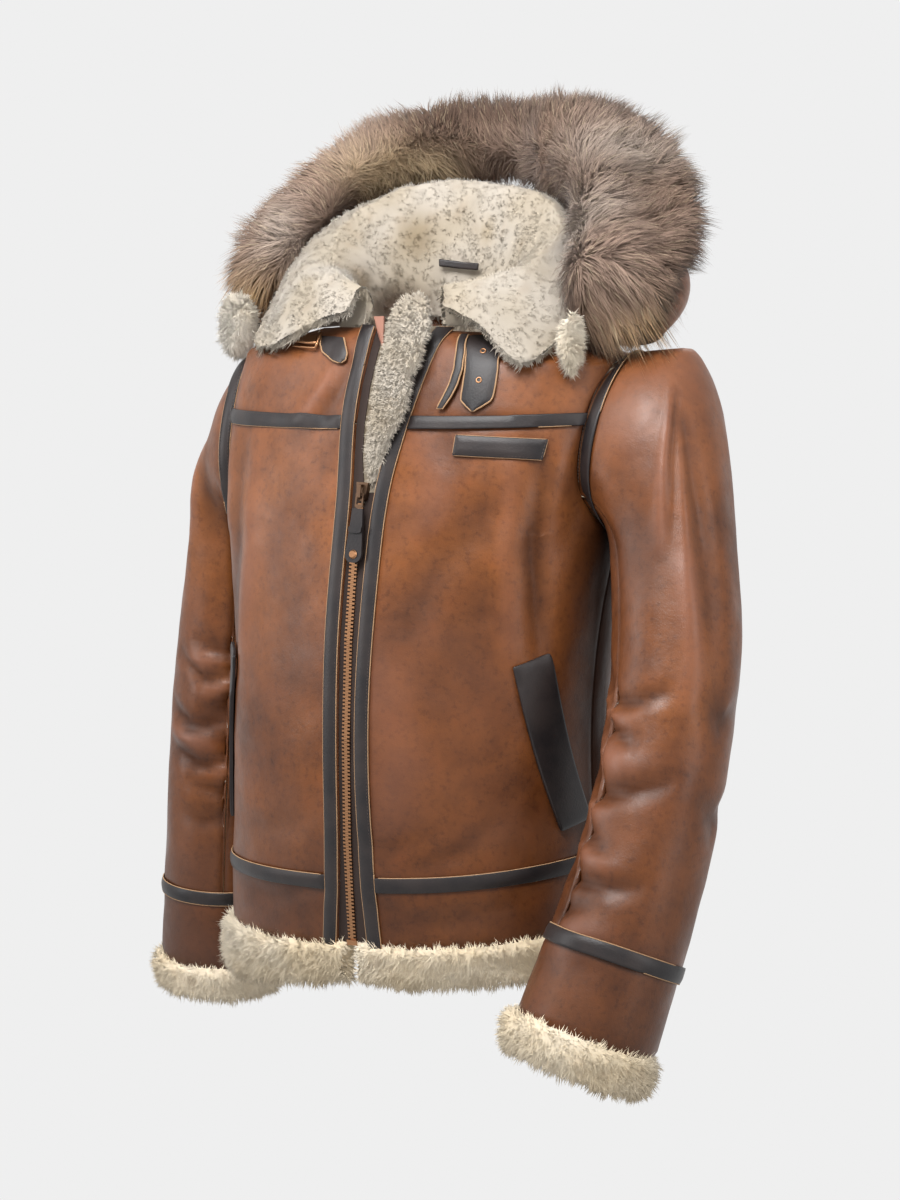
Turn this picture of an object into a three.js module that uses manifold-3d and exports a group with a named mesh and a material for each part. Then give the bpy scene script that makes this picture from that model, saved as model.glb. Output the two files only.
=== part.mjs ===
// Shearling flight coat, worn form with no wearer. Millimetres, +Z up, -Y is the front, +X the wearer's left.
// The origin is the middle of the neck, level with the base of the collar.
import * as THREE from 'three';
import Module from 'manifold-3d';
import { mergeVertices } from 'three/addons/utils/BufferGeometryUtils.js';

// Driving sizes of the cloth and trims
const wall = 9; // leather with its clipped wool
const sleeveWall = 9;
const collarWall = 14;
const hoodWall = 10;
const trimWall = 1.2;
const trimLift = 0.7; // trims lie this far off the panel under them
const seamGap = 0.34;
const zipStripWidth = 15;
const armholeStripWidth = 15;
const bodySquareness = 2.25; // 2 is an ellipse
const sidewaysLean = 0.045; // levels rise toward the wearer's left
const hemLift = 12; // and the hem a little more

// Places along the body, as heights of its centre front
const hemEdge = -590;
const waistSeam = -525;
const waistStripHalf = 7.5;
const yokeSeam = -85;
const yokeStripHalf = 6.5;
const neckEdge = 5;
const armpit = -196;
const shoulderTip = -27;
const sliderLevel = -150;

// Body sections: half-widths at each side, depth at front and back, height at the sides
const bodyRows = [
  { level: -650, side: -650, left: 206, right: 208, front: -176, back: 112 },
  { level: -590, side: -590, left: 203, right: 205, front: -179, back: 110 },
  { level: -525, side: -525, left: 198, right: 200, front: -185, back: 108 },
  { level: -400, side: -400, left: 191, right: 193, front: -190, back: 110 },
  { level: -283, side: -283, left: 195, right: 198, front: -184, back: 124 },
  { level: -211, side: -211, left: 206, right: 212, front: -172, back: 136 },
  { level: -150, side: -150, left: 215, right: 224, front: -160, back: 142 },
  { level: -86, side: -86, left: 217, right: 221, front: -145, back: 138 },
  { level: -50, side: -50, left: 211, right: 213, front: -134, back: 124 },
  { level: -27, side: -25, left: 206, right: 203, front: -124, back: 110 },
  { level: -8, side: -13, left: 160, right: 160, front: -116, back: 98 },
  { level: 5, side: 0, left: 100, right: 100, front: -108, back: 88 },
];

// Front edges: the inner edge of each front beside the zip
const edgeRows = [
  { level: -650, right: -17, left: 25 },
  { level: -590, right: -14, left: 22 },
  { level: -525, right: -8, left: 18 },
  { level: -400, right: -6, left: 14 },
  { level: -283, right: -7, left: 16 },
  { level: -150, right: -7, left: 20 },
  { level: -86, right: -12, left: 32 },
  { level: 5, right: -11, left: 51 },
];

// Soft folds of the body: place, reach and depth, a trough below zero and a ridge above
const bodyFolds = [
  { turn: 24, level: -165, acrossTurn: 7, acrossLevel: 46, depth: -9 },
  { turn: 36, level: -150, acrossTurn: 7, acrossLevel: 60, depth: 5 },
  { turn: 156, level: -165, acrossTurn: 7, acrossLevel: 46, depth: -7 },
  { turn: 145, level: -150, acrossTurn: 8, acrossLevel: 60, depth: 4 },
  { turn: 128, level: -45, acrossTurn: 6, acrossLevel: 40, depth: 4 },
  { turn: -30, level: -170, acrossTurn: 8, acrossLevel: 60, depth: -7 },
  { turn: -150, level: -170, acrossTurn: 8, acrossLevel: 60, depth: -7 },
  { turn: -90, level: -440, acrossTurn: 40, acrossLevel: 34, depth: -5 },
  { turn: 62, level: -455, acrossTurn: 22, acrossLevel: 30, depth: -4 },
  { turn: 118, level: -455, acrossTurn: 22, acrossLevel: 30, depth: -4 },
];

// Sleeve sections: centre of each ring, half-widths across and front to back
const leftArm = [
  { z: -212, x: 274, y: -38, across: 60, deep: 62 },
  { z: -284, x: 290, y: -60, across: 63, deep: 66 },
  { z: -389, x: 296, y: -100, across: 62, deep: 64 },
  { z: -511, x: 289, y: -150, across: 63, deep: 64 },
  { z: -590, x: 275, y: -180, across: 66, deep: 66 },
  { z: -634, x: 265, y: -196, across: 68, deep: 68 },
  { z: -690, x: 252, y: -216, across: 69, deep: 69 },
];
const rightArm = [
  { z: -212, x: -262, y: 36, across: 44, deep: 67 },
  { z: -300, x: -269, y: 32, across: 57, deep: 64 },
  { z: -400, x: -274, y: 24, across: 61, deep: 63 },
  { z: -520, x: -278, y: 18, across: 61, deep: 62 },
  { z: -600, x: -282, y: 18, across: 62, deep: 63 },
  { z: -678, x: -286, y: 20, across: 63, deep: 64 },
  { z: -740, x: -289, y: 20, across: 64, deep: 65 },
];
const leftHead = { puff: 1.6, drop: -0.7 }; // fullness of the sleeve's head, and how it sets off down
const rightHead = { puff: 0.8, drop: 0.8 };
const underHead = { puff: 1.05, drop: 0.35, forward: 0.25 }; // the same toward the armpit
const leftCuff = { seam: -560, edge: -634 };
const rightCuff = { seam: -600, edge: -678 };

// Folds of the sleeves: angle round the arm (0 outside, 90 front), height, reach and depth
const leftArmFolds = [
  { turn: 60, z: -200, acrossTurn: 14, acrossZ: 80, depth: 5 },
  { turn: 22, z: -230, acrossTurn: 14, acrossZ: 110, depth: 4 },
  { turn: 170, z: -330, acrossTurn: 50, acrossZ: 22, depth: -6 },
  { turn: 160, z: -395, acrossTurn: 50, acrossZ: 20, depth: -5 },
  { turn: 175, z: -455, acrossTurn: 50, acrossZ: 20, depth: -5 },
  { turn: 300, z: -350, acrossTurn: 50, acrossZ: 30, depth: -4 },
];
const rightArmFolds = [
  { turn: 60, z: -210, acrossTurn: 16, acrossZ: 80, depth: 4 },
  { turn: 90, z: -300, acrossTurn: 50, acrossZ: 20, depth: -5 },
  { turn: 80, z: -360, acrossTurn: 50, acrossZ: 18, depth: -4 },
  { turn: 170, z: -420, acrossTurn: 50, acrossZ: 24, depth: -5 },
  { turn: 300, z: -350, acrossTurn: 50, acrossZ: 30, depth: -4 },
];
const armholeReach = 27; // half-width of the armhole, degrees round the body
const armholeSteps = 20;

// Collar sections by angle from the centre back, below zero on the wearer's right: radius and height
const collarRows = [
  { turn: -166, riseR: 92, riseZ: 30, crestR: 104, crestZ: 38, edgeR: 121, edgeZ: 16 },
  { turn: -148, riseR: 90, riseZ: 38, crestR: 108, crestZ: 48, edgeR: 140, edgeZ: 10 },
  { turn: -130, riseR: 86, riseZ: 42, crestR: 118, crestZ: 54, edgeR: 164, edgeZ: -2 },
  { turn: -112, riseR: 84, riseZ: 46, crestR: 132, crestZ: 56, edgeR: 190, edgeZ: -22.2 },
  { turn: -96, riseR: 84, riseZ: 50, crestR: 142, crestZ: 76, edgeR: 178, edgeZ: 26 },
  { turn: -70, riseR: 82, riseZ: 54, crestR: 142, crestZ: 112, edgeR: 156, edgeZ: 96 },
  { turn: -40, riseR: 82, riseZ: 52, crestR: 122, crestZ: 142, edgeR: 136, edgeZ: 122 },
  { turn: 0, riseR: 82, riseZ: 48, crestR: 108, crestZ: 142, edgeR: 124, edgeZ: 122 },
  { turn: 40, riseR: 82, riseZ: 50, crestR: 114, crestZ: 128, edgeR: 128, edgeZ: 112 },
  { turn: 72, riseR: 82, riseZ: 52, crestR: 124, crestZ: 94, edgeR: 143, edgeZ: 78 },
  { turn: 96, riseR: 84, riseZ: 48, crestR: 130, crestZ: 64, edgeR: 166, edgeZ: 24 },
  { turn: 112, riseR: 86, riseZ: 45, crestR: 130, crestZ: 53, edgeR: 184, edgeZ: -12 },
  { turn: 122, riseR: 88, riseZ: 42, crestR: 128, crestZ: 48, edgeR: 196, edgeZ: -40 },
  { turn: 132, riseR: 92, riseZ: 40, crestR: 116, crestZ: 46, edgeR: 156, edgeZ: 2 },
  { turn: 150, riseR: 98, riseZ: 32, crestR: 108, crestZ: 40, edgeR: 126, edgeZ: 20 },
];

// Hood sections by angle from the centre back, the same each side: underside of the bowl, radius and height
const hoodRows = [
  { turn: 0, seamZ: 4, floorR: 158, floorZ: -44, backR: 212, backZ: 14,
    upperR: 222, upperZ: 84, rimR: 198, rimZ: 128 },
  { turn: 30, seamZ: 4, floorR: 160, floorZ: -36, backR: 216, backZ: 18,
    upperR: 226, upperZ: 82, rimR: 204, rimZ: 124 },
  { turn: 56, seamZ: 5, floorR: 172, floorZ: -8, backR: 228, backZ: 22,
    upperR: 240, upperZ: 66, rimR: 222, rimZ: 96 },
  { turn: 74, seamZ: 6, floorR: 172, floorZ: -8, backR: 232, backZ: 2,
    upperR: 252, upperZ: 30, rimR: 242, rimZ: 52 },
  { turn: 90, seamZ: 6, floorR: 168, floorZ: -9, backR: 216, backZ: -12,
    upperR: 238, upperZ: -8, rimR: 250, rimZ: 2 },
];
const hoodSeamOut = 6; // the hood is sewn this far outside the neck edge

// Fur ruff on the hood's rim, by angle from the centre back: its middle line and half-sizes
const ruffRows = [
  { turn: -96, radius: 230, z: 40, across: 34, tall: 36 },
  { turn: -86, radius: 226, z: 60.5, across: 44, tall: 46 },
  { turn: -72, radius: 216, z: 108.5, across: 49, tall: 50 },
  { turn: -55, radius: 202, z: 156.5, across: 44, tall: 50 },
  { turn: -31, radius: 188, z: 180.5, across: 42, tall: 50 },
  { turn: 0, radius: 184, z: 186.5, across: 42, tall: 48 },
  { turn: 31, radius: 188, z: 178, across: 45, tall: 52 },
  { turn: 50, radius: 199, z: 158, across: 50, tall: 53 },
  { turn: 66, radius: 211, z: 120, across: 54, tall: 46 },
  { turn: 80, radius: 216, z: 80, across: 54, tall: 41 },
  { turn: 94, radius: 220, z: 46, across: 46, tall: 42 },
  { turn: 106, radius: 224, z: 34, across: 34, tall: 32 },
];
const ruffEnds = { right: -89, left: 97 };
const hoodLobes = {
  left: { x: 187.2, y: -82, z: -6.3, halfX: 11, halfY: 16, halfZ: 32 },
  right: { x: -216, y: -38, z: -1.4, halfX: 22, halfY: 18, halfZ: 34 },
};
const tapeWidth = 9; // of one tape where the zip is open

// Colours and finishes
function finish(color, roughness, metalness = 0) {
  return new THREE.MeshStandardMaterial({ color, roughness, metalness });
}
const leather = finish(0x96552d, 0.42);
const trimLeather = finish(0x231e1e, 0.4);
const shearling = finish(0xe1d7c3, 0.95);
const ruffFur = finish(0x968276, 0.95);
const tapeCloth = finish(0x2a1c16, 0.8);
const copper = finish(0xa86b42, 0.35, 0.9);

const coat = new THREE.Group();

// Value of each column of a table at a place between its rows, on a smooth curve through them
function between(rows, by, value) {
  const last = rows.length - 1;
  const rising = rows[last][by] > rows[0][by] ? 1 : -1;
  let i = 0;
  while (i < last - 1 && (value - rows[i + 1][by]) * rising > 0) i += 1;
  const here = rows[i];
  const next = rows[i + 1];
  const before = rows[Math.max(i - 1, 0)];
  const after = rows[Math.min(i + 2, last)];
  const span = next[by] - here[by];
  const t = THREE.MathUtils.clamp((value - here[by]) / span, 0, 1);
  const result = {};
  for (const key of Object.keys(here)) {
    const slope = (from, to) => (to[key] - from[key]) / (to[by] - from[by]);
    const slopeHere = slope(before, next);
    const slopeNext = slope(here, after);
    const bend = t * t * (3 - 2 * t);
    result[key] = here[key] + (next[key] - here[key]) * bend
      + span * (slopeHere * t * (1 - t) * (1 - t) - slopeNext * t * t * (1 - t));
  }
  return result;
}

const wrapDegrees = (angle) => ((angle + 540) % 360) - 180;

function foldHeight(folds, turnDegrees, height, heightKey, reachKey) {
  let sum = 0;
  for (const fold of folds) {
    const a = wrapDegrees(turnDegrees - fold.turn) / fold.acrossTurn;
    const h = (height - fold[heightKey]) / fold[reachKey];
    sum += fold.depth * Math.exp(-a * a - h * h);
  }
  return sum;
}

// Body surface: turn 0 is the wearer's left side, 90 degrees the centre front
function plainBodyPoint(turn, level) {
  const row = between(bodyRows, 'level', level);
  const c = Math.cos(turn);
  const s = Math.sin(turn);
  const power = 2 / bodySquareness;
  const x = Math.sign(c) * (c > 0 ? row.left : row.right) * Math.abs(c) ** power;
  const middle = (row.front + row.back) / 2;
  const y = middle - Math.sign(s) * ((row.back - row.front) / 2) * Math.abs(s) ** power;
  const droop = sidewaysLean * x * THREE.MathUtils.smoothstep(-level, 30, 120);
  const lift = x > 0 ? hemLift * (x / row.left) ** 2 * THREE.MathUtils.smoothstep(-level, 380, 520) : 0;
  return new THREE.Vector3(x, y, level + (row.side - row.level) * c * c + droop + lift);
}

function bodyNormal(turn, level) {
  const step = 0.012;
  const rise = level > neckEdge - 2 ? -2 : 2;
  const here = plainBodyPoint(turn, level);
  const round = plainBodyPoint(turn + step, level).sub(plainBodyPoint(turn - step, level));
  const up = plainBodyPoint(turn, level + rise).sub(here).multiplyScalar(Math.sign(rise));
  return round.cross(up).normalize().negate();
}

function bodyPoint(turn, level, out = 0) {
  const height = foldHeight(bodyFolds, THREE.MathUtils.radToDeg(turn), level, 'level', 'acrossLevel');
  return plainBodyPoint(turn, level).addScaledVector(bodyNormal(turn, level), out + height);
}

const bodyCell = (turn, level) => ({ p: bodyPoint(turn, level), n: bodyNormal(turn, level) });

// Turn at which the front of a level has this x
function turnAtX(x, level) {
  const row = between(bodyRows, 'level', level);
  const share = THREE.MathUtils.clamp(Math.abs(x) / (x > 0 ? row.left : row.right), 0, 1);
  const c = share ** (bodySquareness / 2);
  return x > 0 ? Math.acos(c) : Math.PI - Math.acos(c);
}

// Armhole: an oval on the body round the shoulder, angle 0 at the shoulder tip and 90 at its front
// The body's edge stands armholeEase outside the sleeve's
const armholeMiddle = (armpit + shoulderTip) / 2;
const armholeHalf = (shoulderTip - armpit) / 2;
const armholeEase = 0.6;
const easeTurn = armholeEase / 3.6; // degrees, at the radius of the armhole
const armholeLevel = (angle, ease = 0) => armholeMiddle + (armholeHalf + ease) * Math.cos(angle);
const armholeTurn = (angle) => THREE.MathUtils.degToRad(armholeReach) * Math.sin(angle);

function seamTurn(level) {
  const share = (level - armholeMiddle) / (armholeHalf + armholeEase);
  if (Math.abs(share) >= 1) return 0;
  return THREE.MathUtils.degToRad(armholeReach + easeTurn) * Math.sqrt(1 - share * share);
}

// Closed solid between an outer and an inner grid of points, wrapped round when closed.
// A twisted last edge is split along its other diagonal, so that it faces the sleeve's edge.
function gridSolid(outer, inner, closed, twisted) {
  const rows = outer.length;
  const columns = outer[0].length;
  const positions = [];
  for (const p of [...outer, ...inner].flat()) positions.push(p.x, p.y, p.z);
  const index = [];
  const at = (side, r, c) => side * rows * columns + r * columns + (c % columns);
  const quad = (a, b, c, d) => index.push(a, b, c, a, c, d);
  const cells = closed ? columns : columns - 1;
  for (let r = 0; r < rows - 1; r += 1) {
    for (let c = 0; c < cells; c += 1) {
      quad(at(0, r, c), at(0, r, c + 1), at(0, r + 1, c + 1), at(0, r + 1, c));
      quad(at(1, r, c), at(1, r + 1, c), at(1, r + 1, c + 1), at(1, r, c + 1));
    }
    if (!closed) {
      quad(at(0, r, 0), at(0, r + 1, 0), at(1, r + 1, 0), at(1, r, 0));
      if (twisted) quad(at(1, r, cells), at(1, r + 1, cells), at(0, r + 1, cells), at(0, r, cells));
      else quad(at(0, r, cells), at(1, r, cells), at(1, r + 1, cells), at(0, r + 1, cells));
    }
  }
  for (let c = 0; c < cells; c += 1) {
    quad(at(0, 0, c), at(1, 0, c), at(1, 0, c + 1), at(0, 0, c + 1));
    quad(at(0, rows - 1, c), at(0, rows - 1, c + 1), at(1, rows - 1, c + 1), at(1, rows - 1, c));
  }
  return facingOut(positions, index);
}

// Closed solid through rings of points, with flat fans over its two ends unless it closes on itself
function ringSolid(rings, closed = false) {
  const count = rings[0].length;
  const positions = [];
  for (const p of rings.flat()) positions.push(p.x, p.y, p.z);
  const index = [];
  const total = rings.length;
  const spans = closed ? total : total - 1;
  for (let r = 0; r < spans; r += 1) {
    for (let c = 0; c < count; c += 1) {
      const a = r * count + c;
      const b = r * count + ((c + 1) % count);
      const d = ((r + 1) % total) * count + c;
      const e = ((r + 1) % total) * count + ((c + 1) % count);
      index.push(a, b, e, a, e, d);
    }
  }
  if (!closed) {
    for (let c = 1; c < count - 1; c += 1) {
      index.push(0, c + 1, c);
      index.push((total - 1) * count, (total - 1) * count + c, (total - 1) * count + c + 1);
    }
  }
  return facingOut(positions, index);
}

// Turns the faces outward, by the sign of the enclosed volume
function facingOut(positions, index) {
  const corner = (i) => new THREE.Vector3().fromArray(positions, index[i] * 3);
  let volume = 0;
  for (let i = 0; i < index.length; i += 3) {
    volume += corner(i).dot(corner(i + 1).cross(corner(i + 2)));
  }
  if (volume < 0) index.reverse();
  const geometry = new THREE.BufferGeometry();
  geometry.setAttribute('position', new THREE.Float32BufferAttribute(positions, 3));
  geometry.setIndex(index);
  geometry.computeVertexNormals();
  return geometry;
}

function addNode(name, geometry, material) {
  const mesh = new THREE.Mesh(geometry, material);
  mesh.name = name;
  coat.add(mesh);
}

// Wall over a grid of cells {p, n}: drawn back from its seams, then given its thickness inward
function panel(cells, thickness, { out = 0, closed = false, twisted = false } = {}) {
  const rows = cells.length;
  const columns = cells[0].length;
  const drawn = cells.map((row) => row.map((cell) => cell.p.clone()));
  const draw = (r, c, r2, c2) => {
    const toward = cells[r2][c2].p.clone().sub(cells[r][c].p);
    if (toward.length() > seamGap) drawn[r][c].addScaledVector(toward.normalize(), seamGap / 2);
  };
  for (let c = 0; c < columns; c += 1) {
    draw(0, c, 1, c);
    draw(rows - 1, c, rows - 2, c);
  }
  if (!closed) {
    for (let r = 0; r < rows; r += 1) {
      draw(r, 0, r, 1);
      draw(r, columns - 1, r, columns - 2);
    }
  }
  const moved = (p, n, far) => p.clone().addScaledVector(n, far);
  const shifted = (grid, far) => grid.map((row, r) => row.map((p, c) => moved(p, cells[r][c].n, far)));
  const outer = shifted(drawn, out);
  return gridSolid(outer, shifted(outer, -thickness), closed, twisted);
}

const pick = (cells, r0, r1, c0, c1) => cells.slice(r0, r1 + 1).map((row) => row.slice(c0, c1 + 1));

// Body levels, shared by every panel so that seams face each other
const hemLevels = [hemEdge, -562, waistSeam - waistStripHalf, waistSeam];
const skirtLevels = [waistSeam, waistSeam + waistStripHalf, -470, -415, -355, -295, -240];
const armholeLevels = [];
const stepAngle = (k) => (2 * Math.PI * k) / armholeSteps;
for (let k = armholeSteps / 2; k >= 0; k -= 1) armholeLevels.push(armholeLevel(stepAngle(k), armholeEase));
const yokeRow = armholeLevels.findIndex((level) => Math.abs(level - yokeSeam) < 2);
const shoulderLevels = [-15, -5, neckEdge];
const bodyLevels = [...hemLevels, ...skirtLevels.slice(1), ...armholeLevels, ...shoulderLevels];
const waistIndex = hemLevels.length - 1;
const armpitIndex = hemLevels.length + skirtLevels.length - 1;
const yokeIndex = armpitIndex + yokeRow;
const topIndex = bodyLevels.length - 1;

// Turns across one front at a level, from the zip edge to the side seam or armhole
const frontColumns = 10;
function frontTurns(side, level) {
  const edges = between(edgeRows, 'level', level);
  const edge = side > 0 ? edges.left : edges.right;
  const seam = side > 0 ? seamTurn(level) : Math.PI - seamTurn(level);
  const first = turnAtX(edge, level);
  const second = turnAtX(edge + side * zipStripWidth, level);
  const turns = [first];
  for (let c = 0; c < frontColumns; c += 1) turns.push(second + ((seam - second) * c) / (frontColumns - 1));
  return turns;
}

const backColumns = 16;
function backTurns(level) {
  const start = -seamTurn(level);
  const turns = [];
  for (let c = 0; c <= backColumns; c += 1) turns.push(start + ((-Math.PI - 2 * start) * c) / backColumns);
  return turns;
}

function cellsOver(levels, turnsAt) {
  return levels.map((level) => turnsAt(level).map((turn) => bodyCell(turn, level)));
}
const frontCells = {
  left: cellsOver(bodyLevels, (level) => frontTurns(1, level)),
  right: cellsOver(bodyLevels, (level) => frontTurns(-1, level)),
};
const backCells = cellsOver(bodyLevels, backTurns);

// Body panels with the strips laid over their seams
const laidStrip = (cells, closed = false) => panel(cells, trimWall, { out: trimLift + trimWall, closed });
const yokeStripLevels = [yokeSeam - yokeStripHalf, bodyLevels[yokeIndex], yokeSeam + yokeStripHalf];
for (const [name, side] of [['left', 1], ['right', -1]]) {
  const cells = frontCells[name];
  const across = (r0, r1) => pick(cells, r0, r1, 0, frontColumns);
  addNode(`front_${name}`, panel(across(waistIndex, yokeIndex), wall, { twisted: true }), leather);
  addNode(`yoke_${name}`, panel(across(yokeIndex, topIndex), wall, { twisted: true }), leather);
  addNode(`hem_band_${name}`, panel(across(0, waistIndex), wall), leather);
  addNode(`zip_strip_${name}`, laidStrip(pick(cells, 0, topIndex, 0, 1)), trimLeather);
  const waist = pick(cells, waistIndex - 1, waistIndex + 1, 1, frontColumns);
  addNode(`waist_strip_${name}`, laidStrip(waist), trimLeather);
  const yokeStrip = cellsOver(yokeStripLevels, (level) => frontTurns(side, level).slice(1));
  addNode(`yoke_strip_${name}`, laidStrip(yokeStrip), trimLeather);
}
addNode('back', panel(pick(backCells, waistIndex, topIndex, 0, backColumns), wall), leather);
addNode('hem_band_back', panel(pick(backCells, 0, waistIndex, 0, backColumns), wall), leather);
const backWaist = pick(backCells, waistIndex - 1, waistIndex + 1, 0, backColumns);
addNode('waist_strip_back', laidStrip(backWaist), trimLeather);

// Fur roll along the hem: a closed section of places down the body and distances off it
const hemFurSection = [
  { down: 0.5, off: -wall - 7 },
  { down: 0.5, off: 1 },
  { down: 6, off: 8 },
  { down: 18, off: 11 },
  { down: 32, off: 9 },
  { down: 41, off: 0 },
  { down: 42, off: -9 },
  { down: 36, off: -18 },
  { down: 20, off: -22 },
];
// The roll hangs deeper at the wearer's right side
const hemFurDeeper = { turn: 172, reach: 48, share: 0.6 };
function hemFur(turns) {
  return ringSolid(turns.map((turn) => {
    const away = wrapDegrees(THREE.MathUtils.radToDeg(turn) - hemFurDeeper.turn) / hemFurDeeper.reach;
    const deeper = 1 + hemFurDeeper.share * Math.exp(-away * away);
    const placeAt = ({ down, off }) => bodyPoint(turn, hemEdge - (down > 1 ? down * deeper : down), off);
    return hemFurSection.map(placeAt);
  }));
}
const drawnTurns = (turns) => {
  const ends = [...turns];
  const inset = 0.004;
  const sense = Math.sign(turns[1] - turns[0]);
  ends[0] += inset * sense;
  ends[ends.length - 1] -= inset * sense;
  return ends;
};
addNode('hem_fur_left', hemFur(drawnTurns(frontTurns(1, hemEdge))), shearling);
addNode('hem_fur_right', hemFur(drawnTurns(frontTurns(-1, hemEdge))), shearling);
addNode('hem_fur_back', hemFur(drawnTurns(backTurns(hemEdge))), shearling);

// Sleeves: rings of cells from the armhole down the arm, column 0 outside and a quarter on at the front
function armFrame(arm, z) {
  const row = between(arm, 'z', z);
  const ahead = between(arm, 'z', z - 4);
  const behind = between(arm, 'z', z + 4);
  const down = new THREE.Vector3(ahead.x - behind.x, ahead.y - behind.y, ahead.z - behind.z).normalize();
  const outward = new THREE.Vector3(Math.sign(row.x), 0, 0);
  outward.addScaledVector(down, -outward.dot(down)).normalize();
  const front = new THREE.Vector3(0, -1, 0);
  front.addScaledVector(down, -front.dot(down)).addScaledVector(outward, -front.dot(outward)).normalize();
  return { row, down, outward, front, centre: new THREE.Vector3(row.x, row.y, row.z) };
}

function armPoint(arm, folds, angle, z, out = 0) {
  const { row, outward, front, centre } = armFrame(arm, z);
  const swell = out + foldHeight(folds, THREE.MathUtils.radToDeg(angle), z, 'z', 'acrossZ');
  return centre
    .addScaledVector(outward, (row.across + swell) * Math.cos(angle))
    .addScaledVector(front, (row.deep + swell) * Math.sin(angle));
}

const capSteps = [0, 0, 0.3, 0.5, 0.72, 1]; // the second is the strip's width, set for each column
function sleeveCells(side, arm, folds, head, levels) {
  const top = levels[0];
  const { down } = armFrame(arm, top);
  const rings = capSteps.map(() => []);
  const rim = [];
  for (let k = 0; k < armholeSteps; k += 1) {
    const angle = stepAngle(k);
    const turn = side > 0 ? armholeTurn(angle) : Math.PI - armholeTurn(angle);
    const start = bodyPoint(turn, armholeLevel(angle));
    const startNormal = bodyNormal(turn, armholeLevel(angle));
    const end = armPoint(arm, folds, angle, top);
    const over = Math.max(Math.cos(angle), 0);
    const leave = new THREE.Vector3(side, -underHead.forward * Math.sin(angle), 0)
      .addScaledVector(down, underHead.drop + (head.drop - underHead.drop) * over).normalize();
    const reach = start.distanceTo(end) * (underHead.puff + (head.puff - underHead.puff) * over);
    rim.push(startNormal);
    capSteps.forEach((step, s) => {
      const t = s === 1 ? Math.min(armholeStripWidth / reach, 0.4) : step;
      const point = start.clone().multiplyScalar((1 + 2 * t) * (1 - t) ** 2)
        .addScaledVector(leave, reach * t * (1 - t) ** 2)
        .addScaledVector(end, t * t * (3 - 2 * t))
        .addScaledVector(down, reach * t * t * (t - 1));
      rings[s].push(point);
    });
  }
  for (const z of levels.slice(1)) {
    const ring = [];
    for (let k = 0; k < armholeSteps; k += 1) ring.push(armPoint(arm, folds, stepAngle(k), z));
    rings.push(ring);
  }
  return rings.map((ring, r) => ring.map((p, k) => {
    const aside = ring[(k + 1) % armholeSteps].clone().sub(ring[(k + armholeSteps - 1) % armholeSteps]);
    const along = rings[Math.min(r + 1, rings.length - 1)][k].clone().sub(rings[Math.max(r - 1, 0)][k]);
    const n = along.cross(aside).normalize().multiplyScalar(-side);
    return { p, n: r === 0 ? rim[k].clone() : n };
  }));
}

const frontSeam = 7; // column of the sleeve's front seam, with the back seam opposite
const backSeam = 13;
function around(cells, from, count) {
  return cells.map((row) => Array.from({ length: count + 1 }, (_, c) => row[(from + c) % armholeSteps]));
}

const furSection = [
  { down: 0.5, off: -sleeveWall - 7 },
  { down: 0.5, off: 1 },
  { down: 6, off: 7 },
  { down: 17, off: 9 },
  { down: 29, off: 7 },
  { down: 37, off: -1 },
  { down: 38, off: -9 },
  { down: 32, off: -17 },
  { down: 18, off: -21 },
];

function addSleeve(name, side, arm, folds, head, cuff) {
  const top = arm[0].z;
  const lengthRows = 8;
  const levels = [top];
  for (let i = 1; i < lengthRows; i += 1) levels.push(top + ((cuff.seam + 7 - top) * i) / (lengthRows - 1));
  levels.push(cuff.seam, cuff.seam - 7, (cuff.seam + cuff.edge) / 2, cuff.edge);
  const cells = sleeveCells(side, arm, folds, head, levels);
  const seamRow = cells.length - 4;
  const sleeve = cells.slice(0, seamRow + 1);
  const topCells = around(sleeve, backSeam, armholeSteps - backSeam + frontSeam);
  const underCells = around(sleeve, frontSeam, backSeam - frontSeam);
  addNode(`sleeve_top_${name}`, panel(topCells, sleeveWall), leather);
  addNode(`sleeve_under_${name}`, panel(underCells, sleeveWall), leather);
  addNode(`cuff_band_${name}`, panel(cells.slice(seamRow), sleeveWall, { closed: true }), leather);
  addNode(`armhole_strip_${name}`, laidStrip(cells.slice(0, 2), true), trimLeather);
  addNode(`cuff_strip_${name}`, laidStrip(cells.slice(seamRow - 1, seamRow + 2), true), trimLeather);
  const rings = [];
  for (let k = 0; k < armholeSteps; k += 1) {
    const angle = stepAngle(k);
    rings.push(furSection.map(({ down, off }) => armPoint(arm, folds, angle, cuff.edge - down, off)));
  }
  addNode(`cuff_fur_${name}`, ringSolid(rings, true), shearling);
}
addSleeve('left', 1, leftArm, leftArmFolds, leftHead, leftCuff);
addSleeve('right', -1, rightArm, rightArmFolds, rightHead, rightCuff);

// Points round the neck: angle 0 is the centre back, 90 the wearer's left
const neckMiddle = -6;
const polar = (turnDegrees, radius, z) => {
  const turn = THREE.MathUtils.degToRad(turnDegrees);
  return new THREE.Vector3(radius * Math.sin(turn), neckMiddle + radius * Math.cos(turn), z);
};

// Radius of the neck edge at an angle from the centre back
function neckRadius(turnDegrees) {
  const row = between(bodyRows, 'level', neckEdge);
  const turn = THREE.MathUtils.degToRad(turnDegrees);
  const depth = Math.cos(turn) > 0 ? row.back - neckMiddle : neckMiddle - row.front;
  return 1 / Math.hypot(Math.sin(turn) / row.left, Math.cos(turn) / depth);
}

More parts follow.
